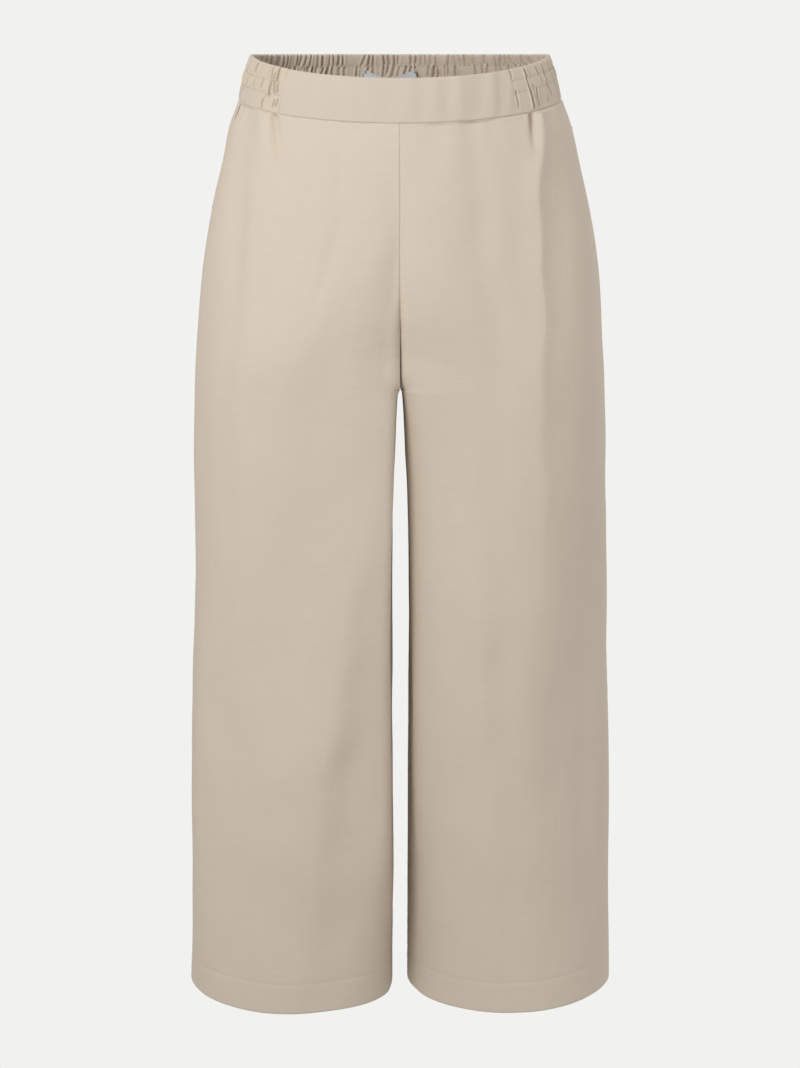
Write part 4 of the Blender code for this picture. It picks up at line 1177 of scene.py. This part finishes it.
edges = np.array((0.0, *STITCH_ROWS, 1.0))
tunnel = np.clip(np.searchsorted(edges, np.clip(warped_up, 0, 1), side="right") - 1, 0, len(edges) - 2)
place = (warped_up - edges[tunnel]) / (edges[tunnel + 1] - edges[tunnel])
swell = ROW_HALF_WALL + TUNNEL_SWELL * np.sin(math.pi * np.clip(place, 0, 1)) ** 0.55
to_end = np.broadcast_to(np.minimum(along, casing_length - along), up.shape)
left = edge_roundness(np.minimum(up, 1.0 - up) * BAND_HEIGHT, FLAT_CLOTH)
middle = BAND_PROUD - FLAT_CLOTH / 2
rolled = BAND_RUMPLE * rumple_rise(points) - END_ROLL * np.exp(-to_end / SEAM_ROLL_REACH)
front_skin = middle + (swell * left) - outside + rolled
back_skin = middle - (swell + ELASTIC_BEHIND) * left + INSIDE_DEEPER * inside + rolled
back_skin = np.minimum(back_skin, front_skin - CASING_LEAST * np.maximum(left, 0.3))
rim = np.clip((up - (1.0 - RIM_REACH)) / RIM_REACH, 0.0, 1.0) ** 2 * RIM_SCALLOP
drawn = rim * np.clip(outside + 0.6 * inside - 0.0008, *RIM_DRAWN)
casing_outer = points + normals * front_skin[..., None]
casing_inner = points + normals * back_skin[..., None]
casing_outer[..., 2] -= drawn
casing_inner[..., 2] -= drawn
grain = np.stack((run * ELASTIC_CUT[0] / casing_length, height), axis=-1)
ELASTIC_LINEN = linen("elastic_linen", (0.580, 0.492, 0.395), (0.665, 0.573, 0.470))
elastic_band = cloth_piece("elastic_waistband", casing_outer, casing_inner, grain, ELASTIC_LINEN)
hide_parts("waistband_back")

# ================================================================ label
# A small satin-woven label hangs inside the centre back, bare on both sides. It is caught to the casing at
# its two upper corners only, so its upper edge sags between them.

LABEL_CENTRE_X = -0.0100
LABEL_WIDTH = 0.0520
LABEL_TOP = 0.0060
LABEL_HEIGHT = 0.0240
LABEL_CLOTH = 0.0007
LABEL_SAG = 0.0085
LABEL_LOWEST = -0.12  # where the upper edge hangs lowest, from -1 at one corner to 1 at the other
LABEL_OFF = 0.0046  # how far inside the waist surface it hangs
LABEL_FALL = 0.0022  # how much further in its sagging middle falls
LABEL_CURL = 0.0008
LABEL_GRID = (26, 60)
SATIN_PITCH = 0.00045
SATIN_SLUB_HEIGHT = 0.0009
SATIN_SLUB_LENGTH = 0.006


def satin(name, colour):
    """A smooth woven ribbon with fine cross ribs and a few paler and darker threads."""
    material, tree, shader = new_finish(name, {"Roughness": 0.42, "Sheen Weight": 0.15})
    weave = lay_weave(tree, SATIN_PITCH, SATIN_SLUB_HEIGHT, SATIN_SLUB_LENGTH)
    colour_between(tree, shader, weave.outputs["Tone"], [0.80 * part for part in colour], colour)
    raise_surface(tree, shader, weave.outputs["Weave Height"], 0.25, 0.0001)
    return material


LABEL_SATIN = satin("label_satin", (0.74, 0.77, 0.82))
label_down, label_across = np.meshgrid(
    np.linspace(0.0, 1.0, LABEL_GRID[0]), np.linspace(-1.0, 1.0, LABEL_GRID[1]), indexing="ij"
)
half_width = float(read(SECTIONS, "half_width", 0.0))
label_bearing = math.pi - math.asin(LABEL_CENTRE_X / half_width)
bearing = label_bearing + math.asin(LABEL_WIDTH / 2 / half_width) * label_across
height = LABEL_TOP - LABEL_HEIGHT * label_down
points, normals = band_surface(height, bearing)
reach = np.where(label_across < -LABEL_LOWEST, 1.0 - LABEL_LOWEST, 1.0 + LABEL_LOWEST)
hang = 1.0 - np.clip(np.abs(label_across + LABEL_LOWEST) / reach, 0.0, 1.0) ** 1.5
points[..., 2] -= LABEL_SAG * hang * (1.0 - label_down)
fall = LABEL_FALL * hang * (1.0 - 0.5 * label_down)
fall += LABEL_CURL * np.sin(5.0 * label_across + 2.0 * label_down)
to_edge = (1 - np.abs(label_across)) * LABEL_WIDTH / 2
half_wall = LABEL_CLOTH / 2 * edge_roundness(to_edge, LABEL_CLOTH)
outer, inner = wall_faces(points, normals, -LABEL_OFF - fall, half_wall)
grain = np.stack((label_across * LABEL_WIDTH / 2, height), axis=-1)
label = cloth_piece("label", outer, inner, grain, LABEL_SATIN)
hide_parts("care_label")
label_corners = (inner[1, 1], inner[1, -2])

# ================================================================ sewing
# Spun polyester thread: two rows round the elastic, which show on both faces, the small picks of the blind
# hem, and close zigzag tacks at the pockets' mouths and on the label's upper corners.

THREAD_WIDTH = 0.00036
THREAD_LIFT = 0.30 * THREAD_WIDTH  # how far a stitch's middle lies off the cloth
PICK_LIFT = 0.6 * THREAD_LIFT
TACK_LIFT = 0.35 * THREAD_WIDTH
CASING_STITCH = {"Pitch": 0.0032, "Stitch Length": 0.0026, "Thread Width": THREAD_WIDTH}
HEM_PICK = {"Pitch": 0.0068, "Stitch Length": 0.0017, "Thread Width": 0.00030}


def thread(name, colour):
    """Twisted thread: fine slanting ridges on a matt colour, darker where the ridges are low as painted
    shade.
    """
    material, tree, shader = new_finish(name, {"Roughness": 0.7})
    where = tree.nodes.new("ShaderNodeTexCoord")
    twist = tree.nodes.new("ShaderNodeTexWave")
    twist.bands_direction = "DIAGONAL"
    twist.inputs["Scale"].default_value = 900.0
    tree.links.new(where.outputs["Object"], twist.inputs["Vector"])
    # The same wave that raises the ridges darkens the colour where they are low: painted shade in the
    # grooves.
    colour_between(tree, shader, twist.outputs["Fac"], [0.82 * part for part in colour], colour)
    raise_surface(tree, shader, twist.outputs["Fac"], 0.4, 0.00006)
    return material


def new_tree(name, sizes):
    """A geometry tree with a path, named sizes and a material for its inputs."""
    tree = bpy.data.node_groups.new(name, "GeometryNodeTree")
    tree.interface.new_socket("Path", in_out="INPUT", socket_type="NodeSocketGeometry")
    for size in sizes:
        tree.interface.new_socket(size, in_out="INPUT", socket_type="NodeSocketFloat")
    tree.interface.new_socket("Thread", in_out="INPUT", socket_type="NodeSocketMaterial")
    tree.interface.new_socket("Sewing", in_out="OUTPUT", socket_type="NodeSocketGeometry")
    return tree, tree.nodes.new("NodeGroupInput"), tree.nodes.new("NodeGroupOutput")


def finish_tree(tree, given, made, geometry):
    """Every tree ends in Realize Instances and Set Material."""
    realise = tree.nodes.new("GeometryNodeRealizeInstances")
    smooth = tree.nodes.new("GeometryNodeSetShadeSmooth")
    paint = tree.nodes.new("GeometryNodeSetMaterial")
    tree.links.new(geometry, smooth.inputs["Geometry"])
    tree.links.new(smooth.outputs["Geometry"], realise.inputs["Geometry"])
    tree.links.new(realise.outputs["Geometry"], paint.inputs["Geometry"])
    tree.links.new(given.outputs["Thread"], paint.inputs["Material"])
    tree.links.new(paint.outputs["Geometry"], made.inputs["Sewing"])


def build_stitch_tree():
    """One rounded stitch at every step along the path, lying in the path's direction."""
    tree, given, made = new_tree("stitch_row", ("Pitch", "Stitch Length", "Thread Width"))
    curve = tree.nodes.new("GeometryNodeMeshToCurve")
    steps = tree.nodes.new("GeometryNodeResampleCurve")
    steps.mode = "LENGTH"
    tree.links.new(given.outputs["Path"], curve.inputs["Mesh"])
    tree.links.new(curve.outputs["Curve"], steps.inputs["Curve"])
    tree.links.new(given.outputs["Pitch"], steps.inputs["Length"])
    stitch = tree.nodes.new("GeometryNodeMeshUVSphere")
    stitch.inputs["Segments"].default_value = 6
    stitch.inputs["Rings"].default_value = 5
    stitch.inputs["Radius"].default_value = 0.5
    size = tree.nodes.new("ShaderNodeCombineXYZ")
    tree.links.new(given.outputs["Stitch Length"], size.inputs["X"])
    tree.links.new(given.outputs["Thread Width"], size.inputs["Y"])
    tree.links.new(given.outputs["Thread Width"], size.inputs["Z"])
    shape = tree.nodes.new("GeometryNodeTransform")
    tree.links.new(stitch.outputs["Mesh"], shape.inputs["Geometry"])
    tree.links.new(size.outputs["Vector"], shape.inputs["Scale"])
    tangent = tree.nodes.new("GeometryNodeInputTangent")
    turn = tree.nodes.new("FunctionNodeAlignRotationToVector")
    turn.axis = "X"
    tree.links.new(tangent.outputs["Tangent"], turn.inputs["Vector"])
    copies = tree.nodes.new("GeometryNodeInstanceOnPoints")
    tree.links.new(steps.outputs["Curve"], copies.inputs["Points"])
    tree.links.new(shape.outputs["Geometry"], copies.inputs["Instance"])
    tree.links.new(turn.outputs["Rotation"], copies.inputs["Rotation"])
    finish_tree(tree, given, made, copies.outputs["Instances"])
    return tree


def build_zigzag_tree():
    """A round thread drawn along the path."""
    tree, given, made = new_tree("thread_along", ("Thread Width",))
    curve = tree.nodes.new("GeometryNodeMeshToCurve")
    circle = tree.nodes.new("GeometryNodeCurvePrimitiveCircle")
    circle.inputs["Resolution"].default_value = 6
    radius = tree.nodes.new("ShaderNodeMath")
    radius.operation = "MULTIPLY"
    radius.inputs[1].default_value = 0.5
    tube = tree.nodes.new("GeometryNodeCurveToMesh")
    tube.inputs["Fill Caps"].default_value = True
    tree.links.new(given.outputs["Path"], curve.inputs["Mesh"])
    tree.links.new(given.outputs["Thread Width"], radius.inputs[0])
    tree.links.new(radius.outputs[0], circle.inputs["Radius"])
    tree.links.new(curve.outputs["Curve"], tube.inputs["Curve"])
    tree.links.new(circle.outputs["Curve"], tube.inputs["Profile Curve"])
    finish_tree(tree, given, made, tube.outputs["Mesh"])
    return tree


def sewn(name, paths, tree, sizes, material):
    """A plain mesh of what a tree makes along the paths."""
    data = bpy.data.meshes.new(name + "_path")
    verts = [tuple(point) for path in paths for point in path]
    edges = []
    for path in paths:
        first = edges[-1][1] + 1 if edges else 0
        edges += [(first + i, first + i + 1) for i in range(len(path) - 1)]
    data.from_pydata(verts, edges, [])
    guide = bpy.data.objects.new(name + "_path", data)
    bpy.context.scene.collection.objects.link(guide)
    modifier = guide.modifiers.new("sewing", "NODES")
    modifier.node_group = tree
    given = {**sizes, "Thread": material}
    for item in tree.interface.items_tree:
        if item.item_type == "SOCKET" and item.name in given:
            modifier[item.identifier] = given[item.name]
    graph = bpy.context.evaluated_depsgraph_get()
    mesh = bpy.data.meshes.new_from_object(guide.evaluated_get(graph), depsgraph=graph)
    mesh.name = name
    bpy.data.objects.remove(guide, do_unlink=True)
    piece = bpy.data.objects.new(name, mesh)
    bpy.context.scene.collection.objects.link(piece)
    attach(piece, "root")
    return piece


def casing_row(skin, share, lift):
    """Points of one stitch row on a face of the casing, lifted clear of the cloth."""
    row_up = share + ROW_TILT * np.sin(casing_bearings) * math.sin(math.pi * share)
    levels = np.clip(np.searchsorted(casing_up, row_up) - 1, 0, len(casing_up) - 2)
    part = (row_up - casing_up[levels]) / (casing_up[levels + 1] - casing_up[levels])
    columns = np.arange(len(casing_bearings))
    line = mix(skin[levels, columns], skin[levels + 1, columns], part[:, None])
    _, outward = band_surface(np.zeros(len(casing_bearings)), casing_bearings)
    return line + outward * lift


STITCHES = build_stitch_tree()
ZIGZAG = build_zigzag_tree()
BAND_THREAD = thread("band_thread", (0.50, 0.42, 0.33))
HEM_THREAD = thread("hem_thread", (0.78, 0.70, 0.60))
LABEL_THREAD = thread("label_thread", (0.23, 0.055, 0.12))

rows = [casing_row(casing_outer, share, THREAD_LIFT) for share in STITCH_ROWS]
rows += [casing_row(casing_inner, share, -THREAD_LIFT) for share in STITCH_ROWS]
sewn("elastic_stitching", rows, STITCHES, CASING_STITCH, BAND_THREAD)

hem_row = int(np.argmin(np.abs(PANEL_ROWS - HEM_STITCH)))
hems = []
for side_name in SIDES:
    for face_name in ("front", "back"):
        line = panels[side_name, face_name][hem_row, 3:-3]
        away = np.gradient(line, axis=0)[:, [1, 0, 2]] * np.array((1.0, -1.0, 0.0))
        away /= np.linalg.norm(away, axis=1, keepdims=True)
        centre_x = panels[side_name, "front"][hem_row, :, 0].mean()
        outward = np.sign(((line - np.array((centre_x, 0.0, 0.0))) * away).sum())
        hems.append(line + away * outward * PICK_LIFT)
sewn("hem_picks", hems, STITCHES, HEM_PICK, HEM_THREAD)


def zigzag(centre, along_way, across_way, length, width, turns):
    """Points of a close zigzag with its long way along one direction."""
    shares = np.linspace(-0.5, 0.5, 2 * turns + 1)
    flips = np.where(np.arange(2 * turns + 1) % 2 == 0, 0.5, -0.5)
    return [centre + along_way * length * s + across_way * width * f for s, f in zip(shares, flips)]


Tack = namedtuple("Tack", "side face level from_seam")
TACKS = (
    Tack("left", "front", -0.0470, 0.0030),
    Tack("left", "front", -0.1710, 0.0030),
    Tack("right", "front", -0.1210, 0.0030),
)
TACK_LENGTH = 0.0060
TACK_WIDTH = 0.0013
TACK_TURNS = 13
bars = []
for tack in TACKS:
    grid = panels[tack.side, tack.face]
    row = int(np.argmin(np.abs(PANEL_ROWS - tack.level)))
    from_edge = np.linalg.norm(grid[row] - grid[row, -1], axis=1)
    column = int(np.argmin(np.abs(from_edge - tack.from_seam)))
    across_way = grid[row, column] - grid[row, column - 1]
    across_way /= np.linalg.norm(across_way)
    down_way = grid[row + 1, column] - grid[row, column]
    down_way /= np.linalg.norm(down_way)
    away = np.cross(down_way, across_way) * SIDES[tack.side]
    centre = grid[row, column] + away * TACK_LIFT
    bars.append(zigzag(centre, across_way, down_way, TACK_LENGTH, TACK_WIDTH, TACK_TURNS))
sewn("pocket_tacks", bars, ZIGZAG, {"Thread Width": THREAD_WIDTH}, BAND_THREAD)

LABEL_TACK_PLACE = np.array((0.0, -0.0004, -0.0012))  # from the label's corner
LABEL_TACK = {"length": 0.0024, "width": 0.0016, "turns": 5}
LABEL_THREAD_WIDTH = 0.00042
across_way = np.array((1.0, 0.0, 0.0))
up_way = np.array((0.0, 0.0, 1.0))
label_tacks = []
for corner in label_corners:
    label_tacks.append(zigzag(corner + LABEL_TACK_PLACE, up_way, across_way, **LABEL_TACK))
sewn("label_tacks", label_tacks, ZIGZAG, {"Thread Width": LABEL_THREAD_WIDTH}, LABEL_THREAD)
